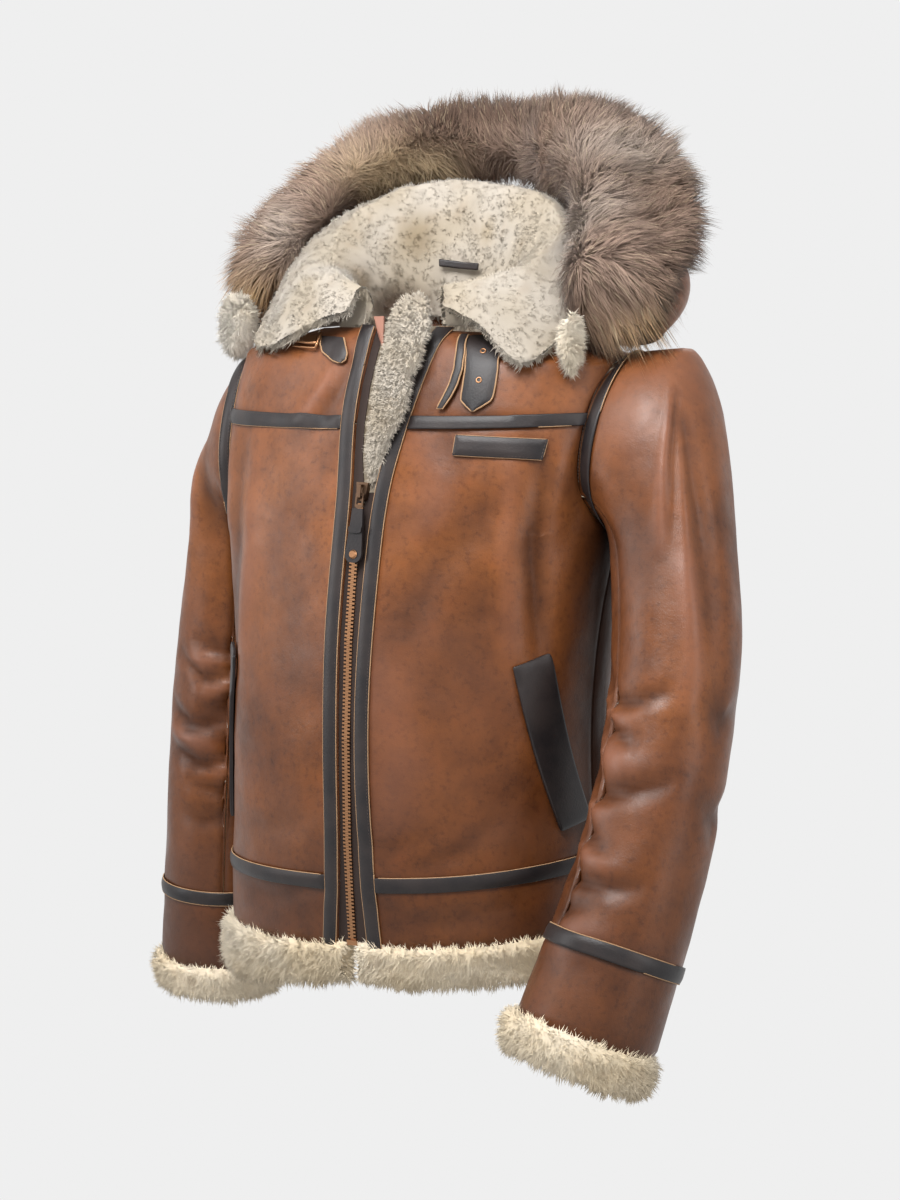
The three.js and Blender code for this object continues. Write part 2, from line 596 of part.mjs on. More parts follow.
// Cells over sections round the neck, each a smooth profile of radius and height
function neckCells(turns, profileAt, steps) {
  const curves = turns.map((turn) => new THREE.CatmullRomCurve3(
    profileAt(turn).map(([radius, z]) => polar(turn, radius, z)), false, 'centripetal'));
  const points = [];
  for (let s = 0; s <= steps; s += 1) points.push(curves.map((curve) => curve.getPoint(s / steps)));
  return points.map((row, r) => row.map((p, c) => {
    const aside = row[Math.min(c + 1, row.length - 1)].clone().sub(row[Math.max(c - 1, 0)]);
    const along = points[Math.min(r + 1, steps)][c].clone().sub(points[Math.max(r - 1, 0)][c]);
    return { p, n: aside.cross(along).normalize() };
  }));
}

function turnsFrom(first, last, count) {
  return Array.from({ length: count + 1 }, (_, i) => first + ((last - first) * i) / count);
}

// Collar: a thick shearling wall from the neck edge up to its crest and over
const collarFoot = 0; // above the neck edge
function collarProfile(turn) {
  const row = between(collarRows, 'turn', turn);
  const seam = neckRadius(turn) - collarWall * 0.47;
  const sideways = Math.sin(THREE.MathUtils.degToRad(turn)) ** 2;
  const foot = neckEdge * (1 - sideways) + collarFoot;
  return [[seam, foot], [row.riseR, row.riseZ], [row.crestR, row.crestZ], [row.edgeR, row.edgeZ]];
}
const collarCells = neckCells(turnsFrom(-166, 150, 26), collarProfile, 8);
addNode('collar', panel(collarCells, collarWall, { out: collarWall / 2 }), shearling);

// Hood: a bowl that hangs behind the neck, in two halves
function hoodProfile(turn) {
  const row = between(hoodRows, 'turn', Math.abs(turn));
  const seam = neckRadius(turn) + hoodSeamOut;
  const lower = [[seam, row.seamZ], [row.floorR, row.floorZ], [row.backR, row.backZ]];
  return [...lower, [row.upperR, row.upperZ], [row.rimR, row.rimZ]];
}
for (const [name, side] of [['left', 1], ['right', -1]]) {
  const cells = neckCells(turnsFrom(0, side * 90, 9), hoodProfile, 9);
  const flat = (n, c) => new THREE.Vector3(c === 0 ? 0 : n.x, n.y, n.z).normalize().multiplyScalar(-side);
  const outward = cells.map((row) => row.map(({ p, n }, c) => ({ p, n: flat(n, c) })));
  addNode(`hood_${name}`, panel(outward, hoodWall), leather);
}

// Ruff: a thick fur roll on the hood's rim
function ruffRing(turn, end = 1) {
  const row = between(ruffRows, 'turn', turn);
  const points = [];
  const sides = 12;
  for (let i = 0; i < sides; i += 1) {
    const angle = (2 * Math.PI * i) / sides;
    const away = end * row.across * Math.cos(angle);
    points.push(polar(turn, row.radius + away, row.z + end * row.tall * Math.sin(angle)));
  }
  return points;
}
const ruffRings = turnsFrom(ruffEnds.right, ruffEnds.left, 23).map((turn) => ruffRing(turn));
ruffRings.unshift(ruffRing(ruffEnds.right - 4, 0.6));
ruffRings.push(ruffRing(ruffEnds.left + 4, 0.6));
addNode('ruff', ringSolid(ruffRings), ruffFur);

// Cream ends of the hood's lining, folded under the ruff's ends
for (const [name, lobe] of Object.entries(hoodLobes)) {
  const rings = [-1, -0.8, -0.35, 0.15, 0.6, 0.93].map((share) => {
    const size = Math.sqrt(Math.max(1 - share * share, 0.06));
    const ring = [];
    for (let i = 0; i < 8; i += 1) {
      const angle = (2 * Math.PI * i) / 8;
      ring.push(new THREE.Vector3(
        lobe.x + lobe.halfX * size * Math.cos(angle),
        lobe.y + lobe.halfY * size * Math.sin(angle),
        lobe.z + lobe.halfZ * share));
    }
    return ring;
  });
  addNode(`hood_lobe_${name}`, ringSolid(rings), shearling);
}

// Binding strips over the hood's front edges
const bindingGap = 0.9;
const bindingWall = 3;
const bindingLap = 1;
for (const [name, side] of [['left', 1], ['right', -1]]) {
  const end = side * hoodRows[hoodRows.length - 1].turn;
  const cells = neckCells([end - side, end], hoodProfile, 12).map((row) => row[1]);
  const bind = cells.slice(2, 12).map(({ p, n }) => {
    const forwardBy = (forward) => new THREE.Vector3(0, -forward, 0);
    const corner = (away, forward) => forwardBy(forward).add(p).addScaledVector(n, -side * away);
    const [near, far] = [bindingGap, bindingGap + bindingWall];
    const [outside, inside] = [bindingLap, -hoodWall - 2 * bindingLap];
    return [corner(outside, near), corner(outside, far), corner(inside, far), corner(inside, near)];
  });
  addNode(`hood_binding_${name}`, ringSolid(bind), trimLeather);
}

// Zip: a tape from each front edge to the teeth line, closed up to the slider
const edgeX = (side, level) => between(edgeRows, 'level', level)[side > 0 ? 'left' : 'right'];
const teethX = (level) => (edgeX(1, level) + edgeX(-1, level)) / 2;
const zipLevels = [hemEdge + 2, -525, -470, -415, -355, -295, -240, -190, sliderLevel];
const openLevels = [-118, -86, -50, -20, neckEdge];
const tapeIn = -3; // the tape lies this far under the fronts' outer face
function tapeCells(side, levels) {
  return levels.map((level) => {
    const edge = edgeX(side, level) - side * 0.3;
    const open = THREE.MathUtils.clamp((level - sliderLevel) / 20, 0, 1);
    const teeth = teethX(level) + side * 0.3;
    const inner = teeth + (edge - side * tapeWidth - teeth) * open;
    return [bodyCell(turnAtX(edge, level), level), bodyCell(turnAtX(inner, level), level)];
  });
}
const rightTape = tapeCells(-1, [...zipLevels, ...openLevels]);
addNode('zip_tape_right', panel(rightTape, trimWall, { out: tapeIn }), tapeCloth);
addNode('zip_tape_left', panel(tapeCells(1, zipLevels), trimWall, { out: tapeIn }), tapeCloth);

// Joins two closed shapes into one
const wasm = await Module();
wasm.setup();
function solidOf(geometry) {
  const bare = geometry.clone();
  bare.deleteAttribute('normal');
  bare.deleteAttribute('uv');
  const merged = mergeVertices(bare, 1e-4);
  return new wasm.Manifold(new wasm.Mesh({
    numProp: 3,
    vertProperties: new Float32Array(merged.attributes.position.array),
    triVerts: new Uint32Array(merged.index.array),
  }));
}
function geometryOf(solid) {
  const mesh = solid.getMesh();
  return facingOut(Array.from(mesh.vertProperties), Array.from(mesh.triVerts));
}

// Plate of an outline in x and z, its thickness toward the front
function plate(outline, thickness, front) {
  const settings = { depth: thickness, bevelEnabled: false, curveSegments: 6 };
  const geometry = new THREE.ExtrudeGeometry(outline, settings);
  return geometry.rotateX(Math.PI / 2).translate(0, front + thickness, 0);
}

function roundedOutline(halfTop, halfBottom, top, bottom, round) {
  const outline = new THREE.Shape();
  outline.moveTo(-halfTop, top);
  outline.lineTo(halfTop, top);
  outline.lineTo(halfBottom, bottom + round);
  outline.quadraticCurveTo(halfBottom, bottom, 0, bottom);
  outline.quadraticCurveTo(-halfBottom, bottom, -halfBottom, bottom + round);
  outline.closePath();
  return outline;
}

// Slider and its pull, in their own frame: y is 0 on the fronts' outer face and points inward
const zipGroup = new THREE.Group();
const sliderPlace = bodyPoint(turnAtX(teethX(sliderLevel), sliderLevel), sliderLevel);
zipGroup.position.copy(sliderPlace);
zipGroup.rotation.x = -Math.atan2(12, 61); // the chest leans out below the slider
coat.add(zipGroup);
function addZipNode(name, geometry, material) {
  const mesh = new THREE.Mesh(geometry, material);
  mesh.name = name;
  zipGroup.add(mesh);
}
const sliderFace = -3.2;
const sliderBody = plate(roundedOutline(6.5, 5, 9, -9, 5), 5.8, sliderFace);
const bridgeOutline = [[-7, 0], [7, 0], [6, 5], [-6, 5]];
const bridgeOpening = [[-4.6, 0.6], [-4.2, 3.8], [4.2, 3.8], [4.6, 0.6]];
const asPoints = (corners, lift = 0) => corners.map(([x, z]) => new THREE.Vector2(x, lift + z));
const bridge = new THREE.Shape(asPoints(bridgeOutline));
bridge.holes.push(new THREE.Path(asPoints(bridgeOpening)));
const bridgeBar = new THREE.ExtrudeGeometry(bridge, { depth: 3.6, bevelEnabled: false });
bridgeBar.translate(0, 0, -1.8).rotateY(Math.PI / 2).rotateX(Math.PI).translate(0, sliderFace + 0.2, 0);
addZipNode('zip_slider', geometryOf(solidOf(sliderBody).add(solidOf(bridgeBar))), copper);

const pullPivot = { y: sliderFace - 2, z: -2.3 }; // the pull turns about this line along x
const linkCorners = [[-4.4, 0.6], [4.4, 0.6], [4.4, -12.2], [2.5, -13.7], [-2.5, -13.7], [-4.4, -12.2]];
const holeCorners = [[-2.7, -0.6], [-2.7, -10], [2.7, -10], [2.7, -0.6]];
const link = new THREE.Shape(asPoints(linkCorners, pullPivot.z));
link.holes.push(new THREE.Path(asPoints(holeCorners, pullPivot.z)));
addZipNode('pull_link', plate(link, 1, pullPivot.y - 0.5), copper);
addZipNode('pull_tab', plate(roundedOutline(5.6, 9, -16.4, -68, 9), 3.4, pullPivot.y - 2), trimLeather);
addZipNode('pull_keeper', plate(roundedOutline(7, 7, -34, -40, 2), 1.4, pullPivot.y - 3.7), trimLeather);
const rivet = new THREE.CylinderGeometry(4.5, 3.2, 1.8, 12);
addZipNode('pull_rivet', rivet.translate(0, pullPivot.y - 3.2, -60), copper);
const stop = new THREE.BoxGeometry(11, 3.4, 5);
const stopPlace = bodyPoint(turnAtX(teethX(hemEdge), hemEdge), hemEdge + 6);
const stopMesh = new THREE.Mesh(stop, copper);
stopMesh.name = 'zip_stop';
stopMesh.position.copy(stopPlace).add(new THREE.Vector3(0, 0.6, 0));
coat.add(stopMesh);

// Storm flap: a fur roll in the open neck, pointed at the slider
const flapRows = [
  { z: -132, x: 13, y: -150, half: 4, thick: 3 },
  { z: -118, x: 13.8, y: -149, half: 9.8, thick: 7 },
  { z: -90, x: 15.9, y: -145, half: 14.8, thick: 11 },
  { z: -50, x: 19, y: -135, half: 18, thick: 12 },
  { z: -15, x: 24, y: -122, half: 20, thick: 13 },
  { z: 14, x: 26, y: -112, half: 21, thick: 13 },
  { z: 32, x: 28, y: -106, half: 16, thick: 10 },
  { z: 40, x: 29, y: -104, half: 7, thick: 5 },
];
const flapSides = 12;
addNode('storm_flap', ringSolid(flapRows.map((row) => Array.from({ length: flapSides }, (_, i) => {
  const angle = (2 * Math.PI * i) / flapSides;
  return new THREE.Vector3(row.x + row.half * Math.cos(angle), row.y + row.thick * Math.sin(angle), row.z);
}))), shearling);

// Plate laid on the body over a four-cornered place, each corner a turn in degrees and a level
const plateLift = 1;
function laidPlate(name, corners, thickness, material, [across, down]) {
  const mix = (a, b, t) => {
    const part = (key) => a[key] + (b[key] - a[key]) * t;
    return { turn: part('turn'), level: part('level') };
  };
  const cells = [];
  for (let r = 0; r <= down; r += 1) {
    const left = mix(corners[0], corners[3], r / down);
    const right = mix(corners[1], corners[2], r / down);
    const row = [];
    for (let c = 0; c <= across; c += 1) {
      const place = mix(left, right, c / across);
      row.push(bodyCell(THREE.MathUtils.degToRad(place.turn), place.level));
    }
    cells.push(row);
  }
  addNode(name, panel(cells, thickness, { out: plateLift + thickness }), material);
}
const atX = (x, level) => ({ turn: THREE.MathUtils.radToDeg(turnAtX(x, level)), level });
const mirrored = (corners) => corners.map(({ turn, level }) => ({ turn: 180 - turn, level }));
const patch = [atX(95, -97), atX(173, -104), atX(171, -124), atX(94, -117)];
laidPlate('chest_patch', patch, 1.6, trimLeather, [6, 2]);
const welt = [
  { turn: 39, level: -316 },
  { turn: 25, level: -306 },
  { turn: 5, level: -482 },
  { turn: 20, level: -488 },
];
laidPlate('pocket_welt_left', welt, 3, trimLeather, [3, 6]);
laidPlate('pocket_welt_right', mirrored(welt), 3, trimLeather, [3, 6]);

// Neck straps on the wearer's left, and the tab and buckle frame on the right
const wideStrap = [atX(96, -12), atX(123, -12), atX(122, -70), atX(98, -70)];
const narrowStrap = [atX(84, -8), atX(91, -8), atX(80, -70), atX(74, -70)];
const tabCorners = [atX(-72, -8), atX(-50, -8), atX(-42, -28), atX(-64, -26)];
const frameCorners = [atX(-104, -8), atX(-75, -8), atX(-75, -15), atX(-104, -15)];
laidPlate('neck_strap_wide', wideStrap, 3, trimLeather, [3, 5]);
laidPlate('neck_strap_narrow', narrowStrap, 3, trimLeather, [1, 5]);
laidPlate('buckle_tab', tabCorners, 3, trimLeather, [2, 2]);
laidPlate('buckle_frame', frameCorners, 3, copper, [2, 1]);

// Hanger loop across the back of the neck
const loopCells = neckCells(turnsFrom(-30, 2, 6), collarProfile, 40);
const loopRow = 14;
const loopLift = 1.2;
const loopWall = 2;
const loopOut = collarWall / 2 + loopLift + loopWall;
const loopStrip = pick(loopCells, loopRow, loopRow + 1, 0, 6);
addNode('hanger_loop', panel(loopStrip, loopWall, { out: loopOut }), trimLeather);

export default coat;
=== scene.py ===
import math
import bmesh
import bpy
import numpy as np
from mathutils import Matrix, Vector, noise
from mathutils.bvhtree import BVHTree
from mathutils.kdtree import KDTree


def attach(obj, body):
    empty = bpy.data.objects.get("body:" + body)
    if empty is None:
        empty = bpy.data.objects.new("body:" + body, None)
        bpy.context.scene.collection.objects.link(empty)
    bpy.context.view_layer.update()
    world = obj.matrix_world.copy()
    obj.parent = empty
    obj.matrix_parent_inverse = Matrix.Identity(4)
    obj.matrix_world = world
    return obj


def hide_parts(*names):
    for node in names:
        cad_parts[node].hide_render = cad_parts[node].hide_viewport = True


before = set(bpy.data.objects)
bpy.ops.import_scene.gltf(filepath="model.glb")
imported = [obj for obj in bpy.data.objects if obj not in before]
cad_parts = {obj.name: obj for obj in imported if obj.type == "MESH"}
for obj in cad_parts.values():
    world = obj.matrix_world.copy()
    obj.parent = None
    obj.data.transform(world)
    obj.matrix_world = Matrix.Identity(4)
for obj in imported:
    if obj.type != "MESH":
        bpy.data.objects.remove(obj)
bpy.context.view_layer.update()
rng = np.random.default_rng(41)
print("stage: frame loaded")

# ---------- materials ----------


def newMaterial(name):
    mat = bpy.data.materials.new(name)
    mat.use_nodes = True
    tree = mat.node_tree
    return mat, tree.nodes, tree.links, tree.nodes["Principled BSDF"]


def noiseNode(tree, scale, detail=4.0, rough=0.55, coord="Object"):
    place = tree.nodes.new("ShaderNodeTexCoord")
    node = tree.nodes.new("ShaderNodeTexNoise")
    node.inputs["Scale"].default_value = scale
    node.inputs["Detail"].default_value = detail
    node.inputs["Roughness"].default_value = rough
    tree.links.new(place.outputs[coord], node.inputs["Vector"])
    return node


def ramp(tree, source, stops):
    node = tree.nodes.new("ShaderNodeValToRGB")
    while len(node.color_ramp.elements) < len(stops):
        node.color_ramp.elements.new(0.5)
    for element, (at, color) in zip(node.color_ramp.elements, stops):
        element.position = at
        element.color = (*color, 1.0) if len(color) == 3 else color
    tree.links.new(source, node.inputs["Fac"])
    return node


def mixColors(tree, factor, a, b, blend="MIX"):
    node = tree.nodes.new("ShaderNodeMix")
    node.data_type = "RGBA"
    node.blend_type = blend
    if isinstance(factor, float):
        node.inputs["Factor"].default_value = factor
    else:
        tree.links.new(factor, node.inputs["Factor"])
    for value, socket in ((a, node.inputs[6]), (b, node.inputs[7])):
        if isinstance(value, tuple):
            socket.default_value = (*value, 1.0)
        else:
            tree.links.new(value, socket)
    return node.outputs[2]


def attribute(tree, name, output="Fac"):
    node = tree.nodes.new("ShaderNodeAttribute")
    node.attribute_name = name
    return node.outputs[output]


def bump(tree, height, strength, distance, normal=None):
    node = tree.nodes.new("ShaderNodeBump")
    node.inputs["Strength"].default_value = strength
    node.inputs["Distance"].default_value = distance
    tree.links.new(height, node.inputs["Height"])
    if normal is not None:
        tree.links.new(normal, node.inputs["Normal"])
    return node.outputs["Normal"]


def mapRange(tree, value, low, high, toLow=0.0, toHigh=1.0):
    node = tree.nodes.new("ShaderNodeMapRange")
    node.inputs["From Min"].default_value = low
    node.inputs["From Max"].default_value = high
    node.inputs["To Min"].default_value = toLow
    node.inputs["To Max"].default_value = toHigh
    tree.links.new(value, node.inputs["Value"])
    return node.outputs["Result"]


def leatherMaterial():
    mat, _, links, shader = newMaterial("oiledLeather")
    tree = mat.node_tree
    broad = ramp(tree, noiseNode(tree, 7.0, 4.0, 0.55).outputs["Fac"],
                 [(0.30, (0.080, 0.026, 0.0085)), (0.46, (0.152, 0.048, 0.0125)), (0.60, (0.205, 0.066, 0.0150)),
                  (0.74, (0.172, 0.062, 0.0240))])
    mottle = ramp(tree, noiseNode(tree, 30.0, 6.0, 0.62).outputs["Fac"],
                  [(0.33, (0.66, 0.62, 0.58)), (0.52, (1.0, 1.0, 1.0)), (0.72, (1.20, 1.15, 1.12))])
    color = mixColors(tree, 0.8, broad.outputs["Color"], mottle.outputs["Color"], "MULTIPLY")
    flecks = ramp(tree, noiseNode(tree, 150.0, 5.0, 0.7).outputs["Fac"],
                  [(0.34, (0.62, 0.56, 0.50)), (0.47, (1.0, 1.0, 1.0)), (0.68, (1.10, 1.08, 1.06))])
    color = mixColors(tree, 0.75, color, flecks.outputs["Color"], "MULTIPLY")
    bloom = mapRange(tree, noiseNode(tree, 5.0, 3.0, 0.5).outputs["Fac"], 0.46, 0.64, 0.0, 0.45)
    color = mixColors(tree, bloom, color, (0.185, 0.078, 0.045))
    # painted light from above: the leather is darker towards the hem and brighter towards the chest
    place = tree.nodes.new("ShaderNodeTexCoord")
    split = tree.nodes.new("ShaderNodeSeparateXYZ")
    links.new(place.outputs["Object"], split.inputs["Vector"])
    level = mapRange(tree, split.outputs["Z"], -0.64, -0.14, 0.0, 1.0)
    paintedLightFromAbove = ramp(tree, level, [(0.0, (0.58, 0.55, 0.52)), (0.45, (0.92, 0.86, 0.78)), (1.0, (1.20, 1.20, 1.22))])
    color = mixColors(tree, 1.0, color, paintedLightFromAbove.outputs["Color"], "MULTIPLY")
    # crease ridges painted lighter: partly the pull-up leather's own lightening, partly a painted highlight
    color = mixColors(tree, attribute(tree, "ridge"), color, (0.30, 0.125, 0.075))
    # painted shade: near black in crease troughs, beside the seams and under the arms
    color = mixColors(tree, attribute(tree, "paintedShade"), color, (0.022, 0.0065, 0.0025))
    links.new(color, shader.inputs["Base Color"])
    gloss = mapRange(tree, noiseNode(tree, 22.0, 4.0, 0.6).outputs["Fac"], 0.35, 0.65, 0.33, 0.50)
    links.new(gloss, shader.inputs["Roughness"])
    grain = noiseNode(tree, 700.0, 3.0, 0.6).outputs["Fac"]
    creasing = noiseNode(tree, 85.0, 5.0, 0.6).outputs["Fac"]
    normal = bump(tree, creasing, 0.22, 0.0018)
    links.new(bump(tree, grain, 0.26, 0.0005, normal), shader.inputs["Normal"])
    # less specular where the shade is painted
    links.new(mapRange(tree, attribute(tree, "paintedShade"), 0.3, 0.9, 0.36, 0.04), shader.inputs["Specular IOR Level"])
    return mat


def trimMaterial():
    mat, _, links, shader = newMaterial("trimLeather")
    tree = mat.node_tree
    dark = ramp(tree, noiseNode(tree, 26.0, 5.0, 0.6).outputs["Fac"],
                [(0.35, (0.010, 0.008, 0.009)), (0.62, (0.026, 0.019, 0.018))])
    color = mixColors(tree, attribute(tree, "rawEdge"), dark.outputs["Color"], (0.36, 0.20, 0.10))
    links.new(color, shader.inputs["Base Color"])
    shader.inputs["Roughness"].default_value = 0.42
    shader.inputs["Specular IOR Level"].default_value = 0.38
    links.new(bump(tree, noiseNode(tree, 480.0, 3.0).outputs["Fac"], 0.3, 0.0006), shader.inputs["Normal"])
    return mat


def furMaterial(name, rough, sheen, glow):
    mat, _, links, shader = newMaterial(name)
    tree = mat.node_tree
    links.new(attribute(tree, "furColor", "Color"), shader.inputs["Base Color"])
    links.new(attribute(tree, "softNormal", "Vector"), shader.inputs["Normal"])
    links.new(attribute(tree, "furColor", "Color"), shader.inputs["Emission Color"])
    shader.inputs["Emission Strength"].default_value = glow  # light scattered through the pile
    shader.inputs["Roughness"].default_value = rough
    shader.inputs["Sheen Weight"].default_value = sheen
    shader.inputs["Sheen Roughness"].default_value = 0.5
    shader.inputs["Specular IOR Level"].default_value = 0.25
    return mat


def plainMaterial(name, color, rough, metal=0.0, grain=None):
    mat, _, links, shader = newMaterial(name)
    tree = mat.node_tree
    shader.inputs["Base Color"].default_value = (*color, 1.0)
    shader.inputs["Roughness"].default_value = rough
    shader.inputs["Metallic"].default_value = metal
    if grain:
        scale, strength, distance = grain
        links.new(bump(tree, noiseNode(tree, scale, 4.0).outputs["Fac"], strength, distance), shader.inputs["Normal"])
    return mat


leather = leatherMaterial()
trim = trimMaterial()
wool = furMaterial("wool", 0.9, 0.15, 0.14)
ruffHair = furMaterial("ruffHair", 0.75, 0.12, 0.02)
copper = plainMaterial("antiqueCopper", (0.36, 0.185, 0.095), 0.36, 1.0, (260.0, 0.25, 0.0004))
bronze = plainMaterial("darkBronze", (0.14, 0.085, 0.055), 0.38, 1.0, (260.0, 0.25, 0.0004))
tapeCloth = plainMaterial("wovenTape", (0.028, 0.015, 0.011), 0.85, 0.0, (900.0, 0.4, 0.0004))
thread = plainMaterial("darkThread", (0.060, 0.040, 0.032), 0.7)
suede = plainMaterial("suede", (0.36, 0.175, 0.125), 0.95, 0.0, (300.0, 0.4, 0.0006))
rawEdge = plainMaterial("rawCutEdge", (0.42, 0.245, 0.125), 0.75)

# ---------- cloth from the solids ----------

armRows = {"left": [(-.212, .274, -.038), (-.284, .290, -.060), (-.389, .296, -.100), (-.511, .289, -.150),
                    (-.590, .275, -.180), (-.634, .265, -.196), (-.690, .252, -.216)],
           "right": [(-.212, -.266, .036), (-.300, -.270, .032), (-.400, -.274, .024), (-.520, -.278, .018),
                     (-.600, -.282, .018), (-.678, -.286, .020), (-.740, -.289, .020)]}


def axisPoint(p, region):
    """ """
    if region in armRows:
        rows = np.array(armRows[region])[::-1]
        z = min(p[2], rows[-1][0])
        return np.array([np.interp(z, rows[:, 0], rows[:, 1]), np.interp(z, rows[:, 0], rows[:, 2]), z])
    return np.array([0.0, -0.020, min(p[2], -0.150)])


def linkPiece(name, mesh, node, material, body="coat"):
    obj = bpy.data.objects.new(name, mesh)
    bpy.context.scene.collection.objects.link(obj)
    mesh.materials.clear()
    mesh.materials.append(material)
    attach(obj, body)
    if node:
        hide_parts(*([node] if isinstance(node, str) else node))
    return obj


def smoothCopy(node, levels, creaseAngle=38.0):
    bm = bmesh.new()
    bm.from_mesh(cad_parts[node].data)
    bmesh.ops.remove_doubles(bm, verts=bm.verts, dist=2e-5)
    limit = math.radians(28)
    bmesh.ops.join_triangles(bm, faces=bm.faces, angle_face_threshold=limit, angle_shape_threshold=math.radians(60),
                             topology_influence=0)
    creases = bm.edges.layers.float.new("crease_edge")
    for edge in bm.edges:
        if len(edge.link_faces) == 2 and edge.calc_face_angle(0.0) > math.radians(creaseAngle):
            edge[creases] = 0.92
    mesh = bpy.data.meshes.new("base")
    bm.to_mesh(mesh)
    bm.free()
    obj = bpy.data.objects.new("base", mesh)
    bpy.context.scene.collection.objects.link(obj)
    mod = obj.modifiers.new("sub", "SUBSURF")
    mod.levels = mod.render_levels = levels
    done = bpy.data.meshes.new_from_object(obj.evaluated_get(bpy.context.evaluated_depsgraph_get()))
    bpy.data.objects.remove(obj)
    for polygon in done.polygons:
        polygon.use_smooth = True
    return done


def vertexArrays(mesh):
    count = len(mesh.vertices)
    points = np.empty(count * 3)
    mesh.vertices.foreach_get("co", points)
    normals = np.empty(count * 3)
    mesh.vertices.foreach_get("normal", normals)
    return points.reshape(-1, 3), normals.reshape(-1, 3)


panels = {"front_left": 3, "front_right": 3, "yoke_left": 2, "yoke_right": 2, "back": 2, "hem_band_left": 3,
          "hem_band_right": 3, "hem_band_back": 2, "sleeve_top_left": 3, "sleeve_under_left": 2,
          "sleeve_top_right": 3, "sleeve_under_right": 2, "cuff_band_left": 2, "cuff_band_right": 2,
          "hood_left": 2, "hood_right": 2}
strips = ["zip_strip_left", "zip_strip_right", "waist_strip_left", "waist_strip_right", "waist_strip_back",
          "yoke_strip_left", "yoke_strip_right", "armhole_strip_left", "armhole_strip_right", "cuff_strip_left",
          "cuff_strip_right", "hood_binding_left", "hood_binding_right", "chest_patch", "pocket_welt_left",
          "pocket_welt_right", "hanger_loop"]
woolForms = ["collar", "hem_fur_left", "hem_fur_right", "hem_fur_back", "cuff_fur_left", "cuff_fur_right",
             "storm_flap", "hood_lobe_left", "hood_lobe_right"]


def camel(node):
    words = node.split("_")
    return words[0] + "".join(w.capitalize() for w in words[1:])


def setAttribute(mesh, name, values):
    attr = mesh.attributes.new(name, "FLOAT", "POINT")
    attr.data.foreach_set("value", np.asarray(values, dtype=np.float32))


def setSoftNormals(mesh, normals):
    layer = mesh.attributes.new("softNormal", "FLOAT_VECTOR", "POINT")
    layer.data.foreach_set("vector", np.ascontiguousarray(normals, dtype=np.float32).ravel())


def setColors(mesh, colors):
    attr = mesh.attributes.new("furColor", "FLOAT_COLOR", "POINT")
    rgba = np.ones((len(mesh.vertices), 4), dtype=np.float32)
    rgba[:, :3] = colors
    attr.data.foreach_set("color", rgba.ravel())


# ---------- fur ----------


def unit(v):
    return v / np.maximum(np.linalg.norm(v, axis=-1, keepdims=True), 1e-9)


def noiseAt(points, scale, seed):
    """ """
    shift = Vector((seed * 7.3, seed * 3.1, seed * 5.7))
    return np.array([noise.noise(Vector(p) * scale + shift) for p in points])


def blobs(points, table):
    weights = []
    for at, reach, _ in table:
        away = (points - np.array(at)) / np.array(reach)
        weights.append(np.exp(-(away ** 2).sum(axis=1)))
    return weights


def surfaceSamples(mesh, count, keep=None):
    mesh.calc_loop_triangles()
    tris = np.empty(len(mesh.loop_triangles) * 3, dtype=np.int64)
    mesh.loop_triangles.foreach_get("vertices", tris)
    tris = tris.reshape(-1, 3)
    points, normals = vertexArrays(mesh)
    a, b, c = points[tris[:, 0]], points[tris[:, 1]], points[tris[:, 2]]
    weight = np.linalg.norm(np.cross(b - a, c - a), axis=1)
    if keep is not None:
        weight = weight * keep((a + b + c) / 3, unit(normals[tris].sum(axis=1)))
    chosen = rng.choice(len(tris), count, p=weight / weight.sum())
    u, v = rng.random((2, count))
    over = u + v > 1
    u[over], v[over] = 1 - u[over], 1 - v[over]
    corners = tris[chosen]
    mixed = [array[corners[:, 0]] * (1 - u - v)[:, None] + array[corners[:, 1]] * u[:, None]
             + array[corners[:, 2]] * v[:, None] for array in (points, normals)]
    return mixed[0], unit(mixed[1])


def clumpPull(roots, tips, share, amount):
    """ """
    centres = rng.choice(len(roots), max(4, int(len(roots) * share)), replace=False)
    tree = KDTree(len(centres))
    for i, k in enumerate(centres):
        tree.insert(roots[k], i)
    tree.balance()
    nearest = np.array([centres[tree.find(p)[1]] for p in roots])
    return (tips[nearest] - tips) * amount


